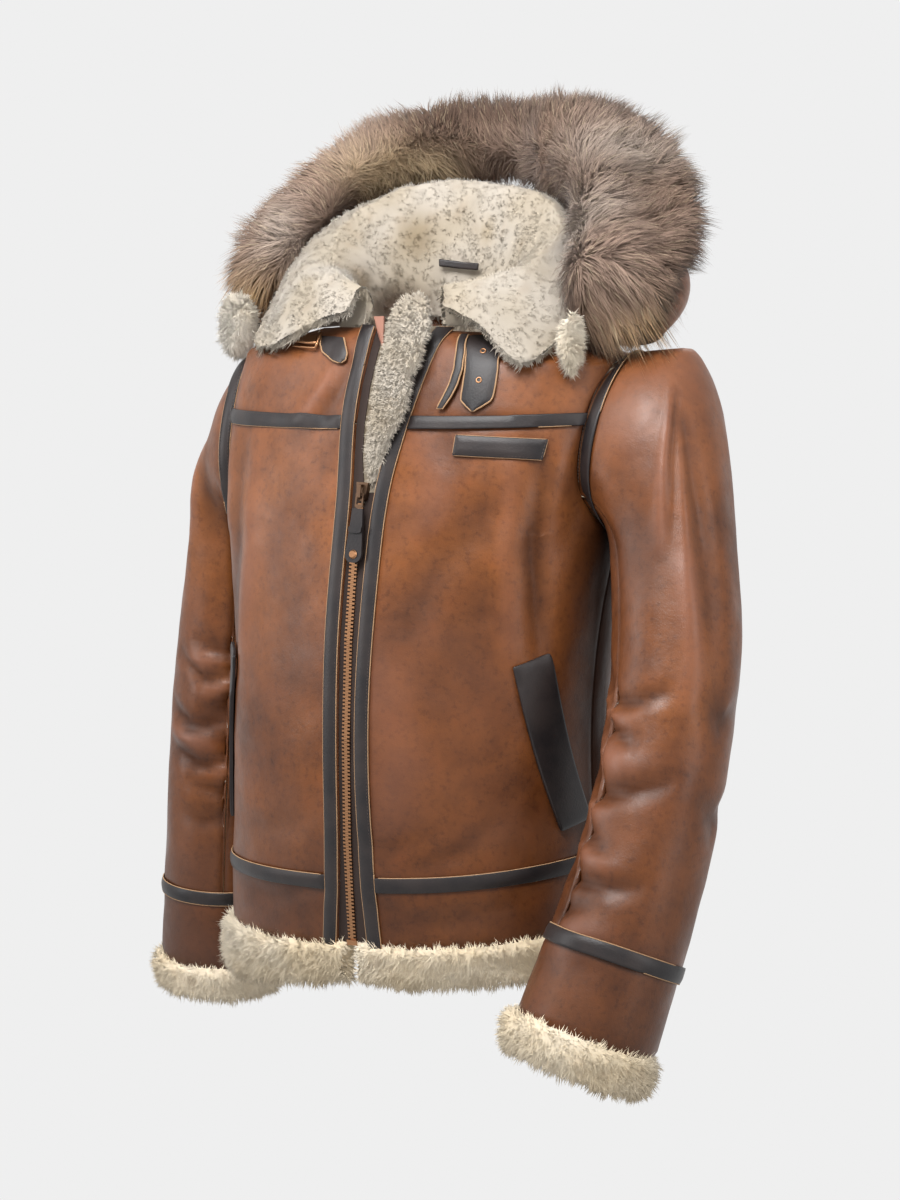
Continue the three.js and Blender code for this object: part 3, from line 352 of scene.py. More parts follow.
def strands(name, roots, normals, heading, length, width, sides, rings, bend, rootColor, tipColor, material,
            clump=(0.08, 0.5), body="coat", curl=0.0):
    count = len(roots)
    tips = roots + heading * length[:, None] + bend * length[:, None]
    pull = clumpPull(roots, tips, *clump) if clump else 0.0
    outward = unit(normals + 0.45 * rng.normal(size=(count, 3)))
    aside = unit(np.cross(heading, outward))
    away = unit(np.cross(aside, heading))
    phase = rng.uniform(0, 2 * np.pi, count)
    verts, shades, soft = [], [], []
    for ring in range(rings):
        t = ring / rings
        middle = roots + heading * (length * t)[:, None] + bend * (length * t * t)[:, None] + pull * t * t
        middle = middle + curl * (length * t)[:, None] * (np.cos(phase + 5 * t)[:, None] * aside
                                                          + np.sin(phase + 5 * t)[:, None] * away)
        size = width * (1 - t ** 1.6) * 0.5
        for side in range(sides):
            angle = 2 * np.pi * side / sides
            verts.append(middle + size[:, None] * (math.cos(angle) * aside + math.sin(angle) * away))
            shades.append(rootColor * (1 - t) + tipColor * t)
            soft.append(normals)
    verts.append(tips + pull)
    shades.append(tipColor)
    soft.append(normals)
    perStrand = rings * sides + 1
    points = np.stack(verts, axis=1).reshape(-1, 3)
    colors = np.stack(shades, axis=1).reshape(-1, 3)
    shadeNormals = np.stack(soft, axis=1).reshape(-1, 3)
    faces = []
    spans = range(sides) if sides > 2 else range(1)
    for ring in range(rings - 1):
        for side in spans:
            other = (side + 1) % sides
            low, high = ring * sides, (ring + 1) * sides
            faces.append((low + other, low + side, high + side, high + other))
    last = (rings - 1) * sides
    points3 = [(last + (side + 1) % sides, last + side, rings * sides) for side in spans]
    start = (np.arange(count) * perStrand)[:, None]
    quads = np.concatenate([start + np.array(f) for f in faces]) if faces else np.empty((0, 4), int)
    tris = np.concatenate([start + np.array(f) for f in points3])
    mesh = bpy.data.meshes.new(name)
    mesh.vertices.add(len(points))
    mesh.vertices.foreach_set("co", points.ravel())
    loops = np.concatenate([quads.ravel(), tris.ravel()])
    mesh.loops.add(len(loops))
    mesh.loops.foreach_set("vertex_index", loops)
    starts = np.concatenate([np.arange(len(quads)) * 4, len(quads) * 4 + np.arange(len(tris)) * 3])
    mesh.polygons.add(len(starts))
    mesh.polygons.foreach_set("loop_start", starts)
    mesh.update(calc_edges=True)
    mesh.validate()
    mesh.polygons.foreach_set("use_smooth", np.ones(len(mesh.polygons), dtype=bool))
    setColors(mesh, np.clip(colors, 0, 1))
    setSoftNormals(mesh, shadeNormals)
    if sides == 2:
        mesh.normals_split_custom_set_from_vertices([tuple(n) for n in shadeNormals])
    return linkPiece(name, mesh, None, material, body)


cream = np.array([0.640, 0.560, 0.440])
paleCream = np.array([0.720, 0.660, 0.570])
tanWool = np.array([0.44, 0.315, 0.20])
greyWool = np.array([0.46, 0.40, 0.345])
# painted shade on the wool: tan and grey where the collar folds and turns from the light, dark in the neck opening;
# place, reach, colour
paintedWoolShade = [
    ((-0.0755, -0.022, 0.045), (0.020, 0.024, 0.022), np.array([0.43, 0.33, 0.21])),
    ((-0.0630, 0.054, 0.088), (0.016, 0.022, 0.022), np.array([0.45, 0.36, 0.235])),
    ((0.0060, 0.076, 0.091), (0.010, 0.030, 0.013), np.array([0.54, 0.45, 0.32])),
    ((0.1320, 0.010, 0.088), (0.016, 0.034, 0.034), np.array([0.47, 0.435, 0.395])),
    ((-0.0690, 0.0305, 0.016), (0.030, 0.034, 0.018), np.array([0.12, 0.065, 0.040])),
]


def woolColors(points, node):
    broad = noiseAt(points, 22.0, 1)[:, None]
    fine = noiseAt(points, 75.0, 2)[:, None]
    colors = cream + (paleCream - cream) * np.clip(0.45 + 1.3 * broad, 0, 1)
    colors = colors + (tanWool - colors) * np.clip(0.7 * fine - 0.20, 0, 0.22)
    for weight, (_, _, tone) in zip(blobs(points, paintedWoolShade), paintedWoolShade):
        colors = colors + (tone - colors) * np.clip(weight, 0, 0.85)[:, None]
    # hem and cuff wool painted brighter, to make up for the light it misses facing down, and warmer
    if node.startswith(("hem", "cuff")):
        colors = colors * np.array([1.16, 1.10, 0.98])
    # collar and storm flap wool painted darker to hold back the strong light that falls on them
    if node in ("collar", "storm_flap"):
        colors = colors * np.array([0.66, 0.645, 0.635])
    if node.startswith("hood_lobe"):
        colors = colors * 1.15
    return colors


def fleeceNormals(points, normals, node):
    middle = outDirections(points, regionOf(node))
    if node == "collar":
        middle = unit((points - np.array([0.0, 0.01, 0.0])) * np.array([1, 1, 0]))
    lean = np.where((normals * middle).sum(axis=1, keepdims=True) > -0.25, 0.75, -0.35)
    return unit(normals + lean * middle + np.array([0, 0, 0.15]))


def pushed(points, table):
    moved = points.copy()
    for weight, (_, _, shift) in zip(blobs(points, table), table):
        moved += weight[:, None] * np.array(shift)
    return moved


taupe = np.array([0.270, 0.195, 0.150])
darkFur = np.array([0.130, 0.088, 0.066])
lightFur = np.array([0.52, 0.475, 0.43])
yellowFur = np.array([0.62, 0.51, 0.33])
goldFur = np.array([0.55, 0.39, 0.19])
pinkFur = np.array([0.42, 0.325, 0.27])
furPatches = [
    ((-0.093, 0.115, 0.158), (0.042, 0.040, 0.020), yellowFur),
    ((-0.128, 0.090, 0.146), (0.036, 0.036, 0.022), yellowFur * 0.9),
    ((-0.195, 0.012, 0.100), (0.022, 0.034, 0.034), lightFur),
    ((0.160, 0.080, 0.172), (0.055, 0.050, 0.024), lightFur),
    ((0.160, 0.020, 0.090), (0.024, 0.050, 0.050), lightFur),
    ((0.212, -0.035, 0.085), (0.036, 0.040, 0.050), pinkFur),
    ((-0.024, 0.138, 0.206), (0.110, 0.050, 0.022), darkFur),
    ((0.262, 0.010, 0.100), (0.020, 0.060, 0.070), darkFur),
    ((0.245, -0.037, 0.012), (0.045, 0.055, 0.026), goldFur),
    ((-0.215, -0.020, 0.035), (0.036, 0.040, 0.026), goldFur),
]


def ruffColors(points):
    mixed = noiseAt(points, 14.0, 7)[:, None]
    colors = taupe + (pinkFur - taupe) * np.clip(0.35 + 1.4 * mixed, 0, 1)
    colors = colors + (darkFur - colors) * np.clip(-1.5 * mixed - 0.05, 0, 0.75)
    for weight, (_, _, tone) in zip(blobs(points, furPatches), furPatches):
        colors = colors + (tone - colors) * np.clip(1.1 * weight, 0, 0.92)[:, None]
    colors = colors * np.array([0.86, 0.76, 0.70])
    return colors


def shiftVertices(mesh, points):
    mesh.vertices.foreach_set("co", points.ravel())
    mesh.update()


def regionOf(node):
    if node.startswith(("sleeve", "cuff", "armhole")):
        return "left" if node.endswith("left") else "right"
    return "body"


def outDirections(points, region):
    if region in armRows:
        rows = np.array(armRows[region])[::-1]
        z = np.minimum(points[:, 2], rows[-1][0])
        axis = np.stack([np.interp(z, rows[:, 0], rows[:, 1]), np.interp(z, rows[:, 0], rows[:, 2]), z], axis=1)
    else:
        axis = np.zeros_like(points)
        axis[:, 1] = -0.020
        axis[:, 2] = np.minimum(points[:, 2], -0.150)
    return unit(points - axis)


def outerRims(mesh, region):
    """ """
    bm = bmesh.new()
    bm.from_mesh(mesh)
    bm.normal_update()
    links, faceSum, rimSum = {}, {}, {}
    for edge in bm.edges:
        if len(edge.link_faces) != 2 or edge.calc_face_angle(0.0) < 0.8:
            continue
        middle = np.array((edge.verts[0].co + edge.verts[1].co) / 2)[None]
        out = Vector(outDirections(middle, region)[0])
        top, rim = sorted(edge.link_faces, key=lambda f: -f.normal.dot(out))
        if top.normal.dot(out) < 0.45 or rim.normal.dot(out) > 0.6:
            continue
        for v, w in (edge.verts, reversed(edge.verts)):
            links.setdefault(v.index, []).append(w.index)
            faceSum[v.index] = faceSum.get(v.index, Vector()) + top.normal
            rimSum[v.index] = rimSum.get(v.index, Vector()) + rim.normal
    places = {v.index: v.co.copy() for v in bm.verts if v.index in links}
    bm.free()
    chains, used = [], set()
    for start in sorted(links, key=lambda k: len(links[k])):
        if start in used:
            continue
        chain = [start]
        used.add(start)
        while True:
            onward = [k for k in links[chain[-1]] if k not in used]
            if not onward:
                break
            chain.append(onward[0])
            used.add(onward[0])
        if chain[0] in links[chain[-1]] and len(chain) > 3:
            chain.append(chain[0])
        if len(chain) > 3:
            chains.append(tuple(np.array([source[k][:] for k in chain]) for source in (places, faceSum, rimSum)))
    return [(points, unit(tops), unit(rims)) for points, tops, rims in chains]


def rimDistance(points, rims):
    tree = KDTree(sum(len(r[0]) for r in rims))
    i = 0
    for chain in rims:
        for p in chain[0]:
            tree.insert(p, i)
            i += 1
    tree.balance()
    return np.array([tree.find(p)[2] for p in points])


# Creases by turn (0 at the wearer's left, 90 the front; on an arm 0 outside, 90 the front) and height:
# places along it, half-width, depth (above zero a ridge)
creases = {
    "body": [
        (((38, -0.150), (56, -0.205), (72, -0.290)), 0.020, -0.0030),
        (((34, -0.200), (48, -0.270), (58, -0.350)), 0.024, -0.0026),
        (((27, -0.110), (30, -0.200), (28, -0.300)), 0.011, -0.0050),
        (((35, -0.120), (38, -0.210), (37, -0.290)), 0.013, 0.0036),
        (((112, -0.020), (116, -0.055), (124, -0.088)), 0.010, 0.0040),
        (((104, -0.020), (108, -0.060), (113, -0.088)), 0.011, -0.0026),
        (((150, -0.110), (146, -0.200), (149, -0.330)), 0.016, -0.0040),
        (((142, -0.120), (137, -0.210), (140, -0.320)), 0.018, 0.0030),
        (((126, -0.150), (116, -0.260), (112, -0.360)), 0.026, -0.0024),
        (((60, -0.470), (74, -0.486), (84, -0.480)), 0.010, -0.0016),
        (((42, -0.455), (52, -0.492), (66, -0.502)), 0.010, -0.0022),
        (((108, -0.470), (124, -0.488), (140, -0.478)), 0.012, -0.0022),
        (((96, -0.530), (120, -0.552), (146, -0.548)), 0.010, -0.0018),
        (((40, -0.545), (60, -0.556), (78, -0.548)), 0.010, -0.0018),
        (((66, -0.090), (58, -0.140), (60, -0.200)), 0.022, 0.0022),
        (((76, -0.300), (70, -0.400), (74, -0.470)), 0.030, 0.0026),
        (((-40, -0.120), (-56, -0.200), (-70, -0.300)), 0.022, -0.0034),
        (((-140, -0.120), (-124, -0.200), (-112, -0.300)), 0.022, -0.0034),
        (((-90, -0.060), (-92, -0.250), (-88, -0.420)), 0.030, -0.0020),
        (((-50, -0.470), (-80, -0.488), (-120, -0.478)), 0.014, -0.0026),
        (((-30, -0.150), (-34, -0.260), (-30, -0.360)), 0.015, 0.0034),
    ],
    "left": [
        (((80, -0.045), (79, -0.110), (74, -0.190)), 0.011, 0.0050),
        (((64, -0.030), (66, -0.110), (62, -0.190)), 0.012, -0.0040),
        (((58, -0.085), (54, -0.200), (50, -0.330)), 0.012, 0.0050),
        (((40, -0.060), (38, -0.160), (38, -0.280)), 0.014, -0.0033),
        (((150, -0.312), (118, -0.330), (72, -0.322)), 0.0080, -0.0060),
        (((148, -0.352), (120, -0.354), (92, -0.366)), 0.0065, -0.0052),
        (((150, -0.396), (116, -0.412), (60, -0.394)), 0.0095, -0.0066),
        (((146, -0.440), (122, -0.448), (96, -0.462)), 0.0062, -0.0045),
        (((148, -0.476), (112, -0.492), (64, -0.484)), 0.0085, -0.0060),
        (((146, -0.512), (120, -0.516), (96, -0.508)), 0.0070, -0.0036),
        (((134, -0.336), (98, -0.346)), 0.010, 0.0042),
        (((132, -0.380), (92, -0.384)), 0.013, 0.0048),
        (((134, -0.428), (104, -0.428)), 0.010, 0.0040),
        (((130, -0.462), (90, -0.472)), 0.009, 0.0038),
        (((124, -0.538), (84, -0.530)), 0.014, 0.0034),
        (((30, -0.330), (10, -0.350), (-20, -0.340)), 0.013, -0.0043),
        (((20, -0.420), (-10, -0.440), (-40, -0.430)), 0.013, -0.0043),
        (((200, -0.330), (230, -0.345), (260, -0.335)), 0.012, -0.0052),
        (((195, -0.395), (225, -0.410), (265, -0.400)), 0.012, -0.0052),
        (((200, -0.470), (235, -0.480), (265, -0.470)), 0.012, -0.0049),
    ],
    "right": [
        (((70, -0.060), (74, -0.130), (76, -0.210)), 0.012, 0.0048),
        (((96, -0.070), (98, -0.140), (100, -0.220)), 0.013, -0.0046),
        (((150, -0.322), (118, -0.345), (84, -0.338)), 0.0075, -0.0050),
        (((60, -0.352), (96, -0.372), (128, -0.366)), 0.0065, -0.0062),
        (((172, -0.376), (134, -0.392), (100, -0.398)), 0.0090, -0.0058),
        (((48, -0.402), (82, -0.418), (122, -0.410)), 0.0080, -0.0066),
        (((176, -0.424), (140, -0.440), (112, -0.430)), 0.0062, -0.0048),
        (((54, -0.444), (92, -0.462), (134, -0.452)), 0.0085, -0.0060),
        (((166, -0.474), (124, -0.490), (86, -0.482)), 0.0075, -0.0050),
        (((70, -0.508), (104, -0.520), (140, -0.512)), 0.0095, -0.0036),
        (((66, -0.360), (110, -0.352)), 0.012, 0.0044),
        (((92, -0.384), (144, -0.374)), 0.011, 0.0040),
        (((58, -0.428), (104, -0.436)), 0.012, 0.0046),
        (((108, -0.470), (150, -0.458)), 0.010, 0.0034),
        (((-30, -0.350), (-60, -0.362), (-100, -0.350)), 0.013, -0.0049),
        (((-30, -0.430), (-60, -0.445), (-100, -0.430)), 0.013, -0.0049),
        (((-40, -0.510), (-70, -0.520), (-100, -0.510)), 0.012, -0.0043),
    ],
}


def turnsOf(points, region):
    out = outDirections(points, region)
    side = -1.0 if region == "right" else 1.0
    return np.degrees(np.arctan2(-out[:, 1], side * out[:, 0]))


def creaseHeight(points, region):
    """ """
    turns = turnsOf(points, region)
    radius = 0.063 if region in armRows else 0.185
    wobble = 0.0075 * noiseAt(points, 18.0, 21)
    total = np.zeros(len(points))
    for line, width, depth in creases[region]:
        line = np.array(line, dtype=float)
        best = np.full(len(points), 9.0)
        along = np.zeros(len(points))
        for k in range(len(line) - 1):
            a, b = line[k], line[k + 1]
            span = np.array([math.radians(b[0] - a[0]) * radius, b[1] - a[1]])
            rel = np.stack([np.radians((turns - a[0] + 180) % 360 - 180) * radius, points[:, 2] + wobble - a[1]], axis=1)
            t = np.clip(rel @ span / (span @ span), 0, 1)
            far = np.linalg.norm(rel - t[:, None] * span, axis=1)
            closer = far < best
            best[closer] = far[closer]
            along[closer] = ((k + t) / (len(line) - 1))[closer]
        fade = np.sin(np.pi * np.clip(0.12 + 0.76 * along, 0, 1)) ** 0.8
        total += depth * fade * np.exp(-(best / width) ** 2)
    return total


def underarmShade(points, region):
    turns = turnsOf(points, region)
    level = np.clip((points[:, 2] + 0.62) / 0.14, 0, 1) * np.clip((-0.05 - points[:, 2]) / 0.05, 0, 1)
    if region == "body":
        away = np.minimum(abs(turns - 2), abs(abs(turns) - 178))
        return np.clip(1.25 - away / 17, 0, 1) * level
    away = abs((turns - 182 + 180) % 360 - 180)
    return np.clip(1.3 - away / 34, 0, 1) * level


built = {}
for node, levels in panels.items():
    mesh = smoothCopy(node, levels)
    region = regionOf(node)
    points, normals = vertexArrays(mesh)
    out = outDirections(points, region)
    facing = np.clip((normals * out).sum(axis=1) * 1.6, 0, 1)
    fold = creaseHeight(points, region) if not node.startswith("hood") else np.zeros(len(points))
    rims = outerRims(mesh, region)
    seam = np.clip(1 - rimDistance(points, rims) / 0.011, 0, 1) ** 2 if rims else np.zeros(len(points))
    wave = 0.0011 * noiseAt(points, 16.0, 31) + 0.0005 * noiseAt(points, 44.0, 32)
    height = (fold + wave * (1 - seam)) * facing - 0.0020 * seam * facing
    shiftVertices(mesh, points + normals * height[:, None])
    # ridge mask: crease ridges, painted lighter as pull-up lightening and as a painted highlight
    setAttribute(mesh, "ridge", np.clip(fold * facing / 0.0045, 0, 1) * 0.55)
    # painted shade mask: crease troughs, the recess beside the seams and the underarm
    paintedShade = np.clip(-fold * facing / 0.0050 + 0.55 * seam * facing, 0, 1) * 0.60
    setAttribute(mesh, "paintedShade", np.maximum(paintedShade, 0.93 * underarmShade(points, region) * (not node.startswith("hood"))))
    setColors(mesh, ruffColors(points) * 0.7 if node.startswith("hood") else woolColors(points, node) * 0.9)
    setSoftNormals(mesh, vertexArrays(mesh)[1])
    built[node] = linkPiece(camel(node) + "Cloth", mesh, node, leather)
    mesh.materials.append(wool)
    lining = np.array([(Vector(p.normal).dot(Vector(outDirections(np.array(p.center)[None], region)[0])) < -0.3)
                       for p in mesh.polygons])
    mesh.polygons.foreach_set("material_index", lining.astype(np.int32))

# Which edges of each strip are cut raw, and how far in its stitches run
stripLooks = {
    "zip_strip": dict(raw="sides", stitch="sides"), "waist_strip": dict(raw="up", stitch="both"),
    "yoke_strip": dict(raw="down", stitch="both"), "armhole_strip": dict(raw="all", stitch="all"),
    "cuff_strip": dict(raw="both", stitch="both"), "chest_patch": dict(raw="all", stitch="all"),
    "pocket_welt": dict(raw=None, stitch="sides"),
    "hood_binding": dict(raw="all", stitch=None), "hanger_loop": dict(raw=None, stitch=None),
}
stripBulge = 0.0013
stitchInset = 0.0021


def sideTest(kind, rim):
    up = rim[:, 2]
    return {"sides": abs(up) < 0.6, "up": up > 0.5, "down": up < -0.5, "both": abs(up) > 0.5,
            "all": np.ones(len(rim), dtype=bool)}[kind]


def runs(mask):
    """ """
    found, start = [], None
    for i, on in enumerate(list(mask) + [False]):
        if on and start is None:
            start = i
        if not on and start is not None:
            if i - start > 2:
                found.append((start, i))
            start = None
    return found


def resample(points, others, step):
    lengths = np.concatenate([[0], np.cumsum(np.linalg.norm(np.diff(points, axis=0), axis=1))])
    count = max(2, int(lengths[-1] / step))
    at = np.linspace(0, lengths[-1], count)
    take = lambda array: np.stack([np.interp(at, lengths, array[:, k]) for k in range(3)], axis=1)
    return take(points), [unit(take(o)) for o in others]


def tubeArrays(points, radius, sides=5):
    along = unit(np.gradient(points, axis=0))
    ref = unit(np.cross(along, np.array([0.31, 0.52, 0.79])))
    other = np.cross(along, ref)
    angles = 2 * np.pi * np.arange(sides) / sides
    rings = points[:, None] + radius * (np.cos(angles)[None, :, None] * ref[:, None]
                                        + np.sin(angles)[None, :, None] * other[:, None])
    count = len(points)
    faces = [(r * sides + k, r * sides + (k + 1) % sides, (r + 1) * sides + (k + 1) % sides, (r + 1) * sides + k)
             for r in range(count - 1) for k in range(sides)]
    faces += [tuple(range(sides - 1, -1, -1)), tuple((count - 1) * sides + k for k in range(sides))]
    return rings.reshape(-1, 3), faces


def stitchArrays(centre, along, up, length, radius):
    side = np.cross(up, along)
    verts = [centre - along * length / 2]
    for share, size in ((-0.30, 0.85), (0.30, 0.85)):
        for a, b in ((1, 0), (0, 1), (-1, 0), (0, -1)):
            verts.append(centre + along * share * length + size * radius * (a * side + b * up))
    verts.append(centre + along * length / 2)
    faces = [(0, 1 + (k + 1) % 4, 1 + k) for k in range(4)]
    faces += [(1 + k, 1 + (k + 1) % 4, 5 + (k + 1) % 4, 5 + k) for k in range(4)]
    faces += [(9, 5 + k, 5 + (k + 1) % 4) for k in range(4)]
    return np.array(verts), faces


class Gather:
    """ """

    def __init__(self):
        self.verts, self.faces, self.count = [], [], 0

    def add(self, verts, faces):
        self.verts.append(verts)
        self.faces += [tuple(i + self.count for i in f) for f in faces]
        self.count += len(verts)

    def piece(self, name, material, slotName, body="coat", smooth=True):
        mesh = bpy.data.meshes.new(name)
        mesh.from_pydata(np.concatenate(self.verts).tolist(), [], self.faces)
        bm = bmesh.new()
        bm.from_mesh(mesh)
        bmesh.ops.recalc_face_normals(bm, faces=bm.faces)
        bm.to_mesh(mesh)
        bm.free()
        for polygon in mesh.polygons:
            polygon.use_smooth = smooth
        return linkPiece(name, mesh, None, material, body)


rawEdges, stitches = Gather(), Gather()
for node in strips:
    look = next(v for k, v in stripLooks.items() if node.startswith(k))
    region = regionOf(node)
    wide = not node.startswith(("hood_binding", "hanger_loop"))
    mesh = smoothCopy(node, 2 if node.startswith(("cuff", "waist_strip_back")) else 3 if wide else 2)
    rims = outerRims(mesh, region)
    points, normals = vertexArrays(mesh)
    out = outDirections(points, region)
    facing = np.clip((normals * out).sum(axis=1) * 2.0 - 0.6, 0, 1)
    fold = creaseHeight(points, region) if not node.startswith(("hood", "hanger")) else np.zeros(len(points))
    if rims and wide:
        near = rimDistance(points, rims)
        bulge = stripBulge * np.sin(np.clip(near / 0.0070, 0, 1) * np.pi / 2)
    else:
        bulge = 0
    shiftVertices(mesh, points + out * fold[:, None] + normals * (bulge * facing)[:, None] if wide
                  else points + out * fold[:, None])
    setAttribute(mesh, "rawEdge", np.zeros(len(points)))
    built[node] = linkPiece(camel(node) + "Trim", mesh, node, trim)
    for edge, top, rim in rims:
        lift = creaseHeight(edge, region)[:, None] * outDirections(edge, region)
        edge = edge + lift
        for kind, gather in ((look["raw"], rawEdges), (look["stitch"], stitches)):
            if kind is None:
                continue
            for start, end in runs(sideTest(kind, rim)):
                line, (tops, rimsOut) = resample(edge[start:end], (top[start:end], rim[start:end]),
                                                 0.004 if gather is rawEdges else 0.0033)
                if gather is rawEdges:
                    gather.add(*tubeArrays(line - tops * 0.00045 + rimsOut * 0.00015, 0.00062))
                else:
                    seat = line - rimsOut * stitchInset + tops * stripBulge * 0.36
                    heading = unit(np.gradient(seat, axis=0))
                    for c, h, t in zip(seat[1:-1], heading[1:-1], tops[1:-1]):
                        gather.add(*stitchArrays(c, h, t, 0.0024, 0.00042))
def surfaceTree(names):
    verts, faces = [], []
    for name in names:
        mesh = built[name].data
        start = len(verts)
        verts += [v.co.copy() for v in mesh.vertices]
        faces += [tuple(i + start for i in p.vertices) for p in mesh.polygons]
    return BVHTree.FromPolygons(verts, faces)


def onFront(tree, x, z, lift):
    hit, normal, _, _ = tree.ray_cast(Vector((x, -0.6, z)), Vector((0, 1, 0)))
    if normal.y > 0:
        normal = -normal
    return np.array(hit + normal * lift), np.array(normal)


# Straps laid on the yoke: rows of place across, level and half-width, in metres, from the top down
laidStraps = {
    "neck_strap_wide": dict(rows=[(0.0990, -0.006, 0.0150), (0.1065, -0.020, 0.0150), (0.1095, -0.034, 0.0148),
                                  (0.1100, -0.048, 0.0148), (0.1098, -0.058, 0.0146), (0.1092, -0.0625, 0.0135),
                                  (0.1085, -0.0675, 0.0075), (0.1080, -0.0715, 0.0015)], lift=0.0034, swell=0.0012),
    "neck_strap_narrow": dict(rows=[(0.0815, -0.006, 0.0036), (0.0865, -0.020, 0.0040), (0.0885, -0.034, 0.0040),
                                    (0.0865, -0.048, 0.0040), (0.0825, -0.060, 0.0038), (0.0775, -0.0705, 0.0030)],
                              lift=0.0050, swell=0.0010),
    "buckle_tab": dict(rows=[(-0.0560, -0.009, 0.0150), (-0.0520, -0.0160, 0.0160), (-0.0480, -0.0225, 0.0150),
                             (-0.0420, -0.0285, 0.0085), (-0.0390, -0.0315, 0.0020)], lift=0.0034, swell=0.0012),
}
yokeTrees = {"left": surfaceTree(["yoke_left", "front_left"]), "right": surfaceTree(["yoke_right", "front_right"])}


def strapPiece(node, opts):
    rows = np.array(opts["rows"])
    steps = np.linspace(0, 1, 25)
    knots = np.linspace(0, 1, len(rows))
    x, z, half = (np.interp(steps, knots, rows[:, k]) for k in range(3))
    tree = yokeTrees["right" if rows[0][0] < 0 else "left"]
    across = np.linspace(-1, 1, 9)
    top, low, edgeLeft, edgeRight, ups = [], [], [], [], []
    for i in range(len(steps)):
        for c in across:
            swell = opts["swell"] * (1 - c ** 4)
            p, n = onFront(tree, x[i] + c * half[i], z[i], opts["lift"])
            top.append(p + n * swell)
            low.append(p - n * 0.0020)
            if c == -1:
                edgeLeft.append(p)
            if c == 1:
                edgeRight.append(p)
        ups.append(n)
    count, wide = len(steps), len(across)
    bm = bmesh.new()
    topVerts = [bm.verts.new(p) for p in top]
    lowVerts = [bm.verts.new(p) for p in low]
    for r in range(count - 1):
        for c in range(wide - 1):
            a, b = r * wide + c, (r + 1) * wide + c
            bm.faces.new([topVerts[a], topVerts[b], topVerts[b + 1], topVerts[a + 1]])
            bm.faces.new([lowVerts[a], lowVerts[a + 1], lowVerts[b + 1], lowVerts[b]])
    border = [r * wide for r in range(count)] + [(count - 1) * wide + c for c in range(1, wide)]
    border += [r * wide + wide - 1 for r in range(count - 2, -1, -1)] + [c for c in range(wide - 2, 0, -1)]
    for k, a in enumerate(border):
        b = border[(k + 1) % len(border)]
        bm.faces.new([topVerts[a], topVerts[b], lowVerts[b], lowVerts[a]])
    bmesh.ops.recalc_face_normals(bm, faces=bm.faces)
    mesh = bpy.data.meshes.new(camel(node) + "Trim")
    bm.to_mesh(mesh)
    bm.free()
    for polygon in mesh.polygons:
        polygon.use_smooth = True
    mesh.set_sharp_from_angle(angle=math.radians(50))
    setAttribute(mesh, "rawEdge", np.zeros(len(mesh.vertices)))
    built[node] = linkPiece(camel(node) + "Trim", mesh, node, trim)
    outline = np.array(edgeLeft + edgeRight[::-1])
    rawEdges.add(*tubeArrays(outline, 0.00085))


for node, opts in laidStraps.items():
    strapPiece(node, opts)


def ringArrays(centre, axis, radius, tube, around=16, sides=6):
    ref = unit(np.cross(axis, np.array([0.3, 0.2, 0.9])))
    other = np.cross(axis, ref)
    verts, faces = [], []
    for k in range(around):
        a = 2 * np.pi * k / around
        spoke = np.cos(a) * ref + np.sin(a) * other
        for j in range(sides):
            b = 2 * np.pi * j / sides
            verts.append(centre + spoke * (radius + tube * np.cos(b)) + axis * tube * np.sin(b))
            k2, j2 = (k + 1) % around, (j + 1) % sides
            faces.append((k * sides + j, k2 * sides + j, k2 * sides + j2, k * sides + j2))
    return np.array(verts), faces


brass = Gather()
for x, z in ((0.1065, -0.019), (0.1097, -0.044)):
    centre, axis = onFront(yokeTrees["left"], x, z, 0.0047)
    brass.add(*ringArrays(centre, axis, 0.0024, 0.0008))
bar = [onFront(yokeTrees["right"], x, -0.0160, 0.0058)[0] for x in np.linspace(-0.103, -0.071, 7)]
post = [onFront(yokeTrees["right"], -0.0705, z, 0.0056)[0] for z in np.linspace(-0.0075, -0.0200, 5)]
prong = [onFront(yokeTrees["right"], x, -0.0200, 0.0050)[0] for x in np.linspace(-0.103, -0.0705, 7)]
for line, radius in ((bar, 0.0018), (post, 0.0015), (prong, 0.0010)):
    brass.add(*tubeArrays(np.array(line), radius, 8))
brass.piece("buckleAndEyelets", copper, "copper")

corner = Gather()
fold = [(-0.0085, -0.1150, 0.0140), (0.0020, -0.1140, 0.0145), (0.0072, -0.1240, -0.0170), (0.0010, -0.1225, -0.0040)]
front = np.array(fold)
corner.add(np.concatenate([front, front + np.array([0, 0.0022, -0.0006])]),
           [(0, 1, 2, 3), (7, 6, 5, 4), (0, 4, 5, 1), (1, 5, 6, 2), (2, 6, 7, 3), (3, 7, 4, 0)])
corner.piece("suedeCorner", suede, "leather", smooth=False)

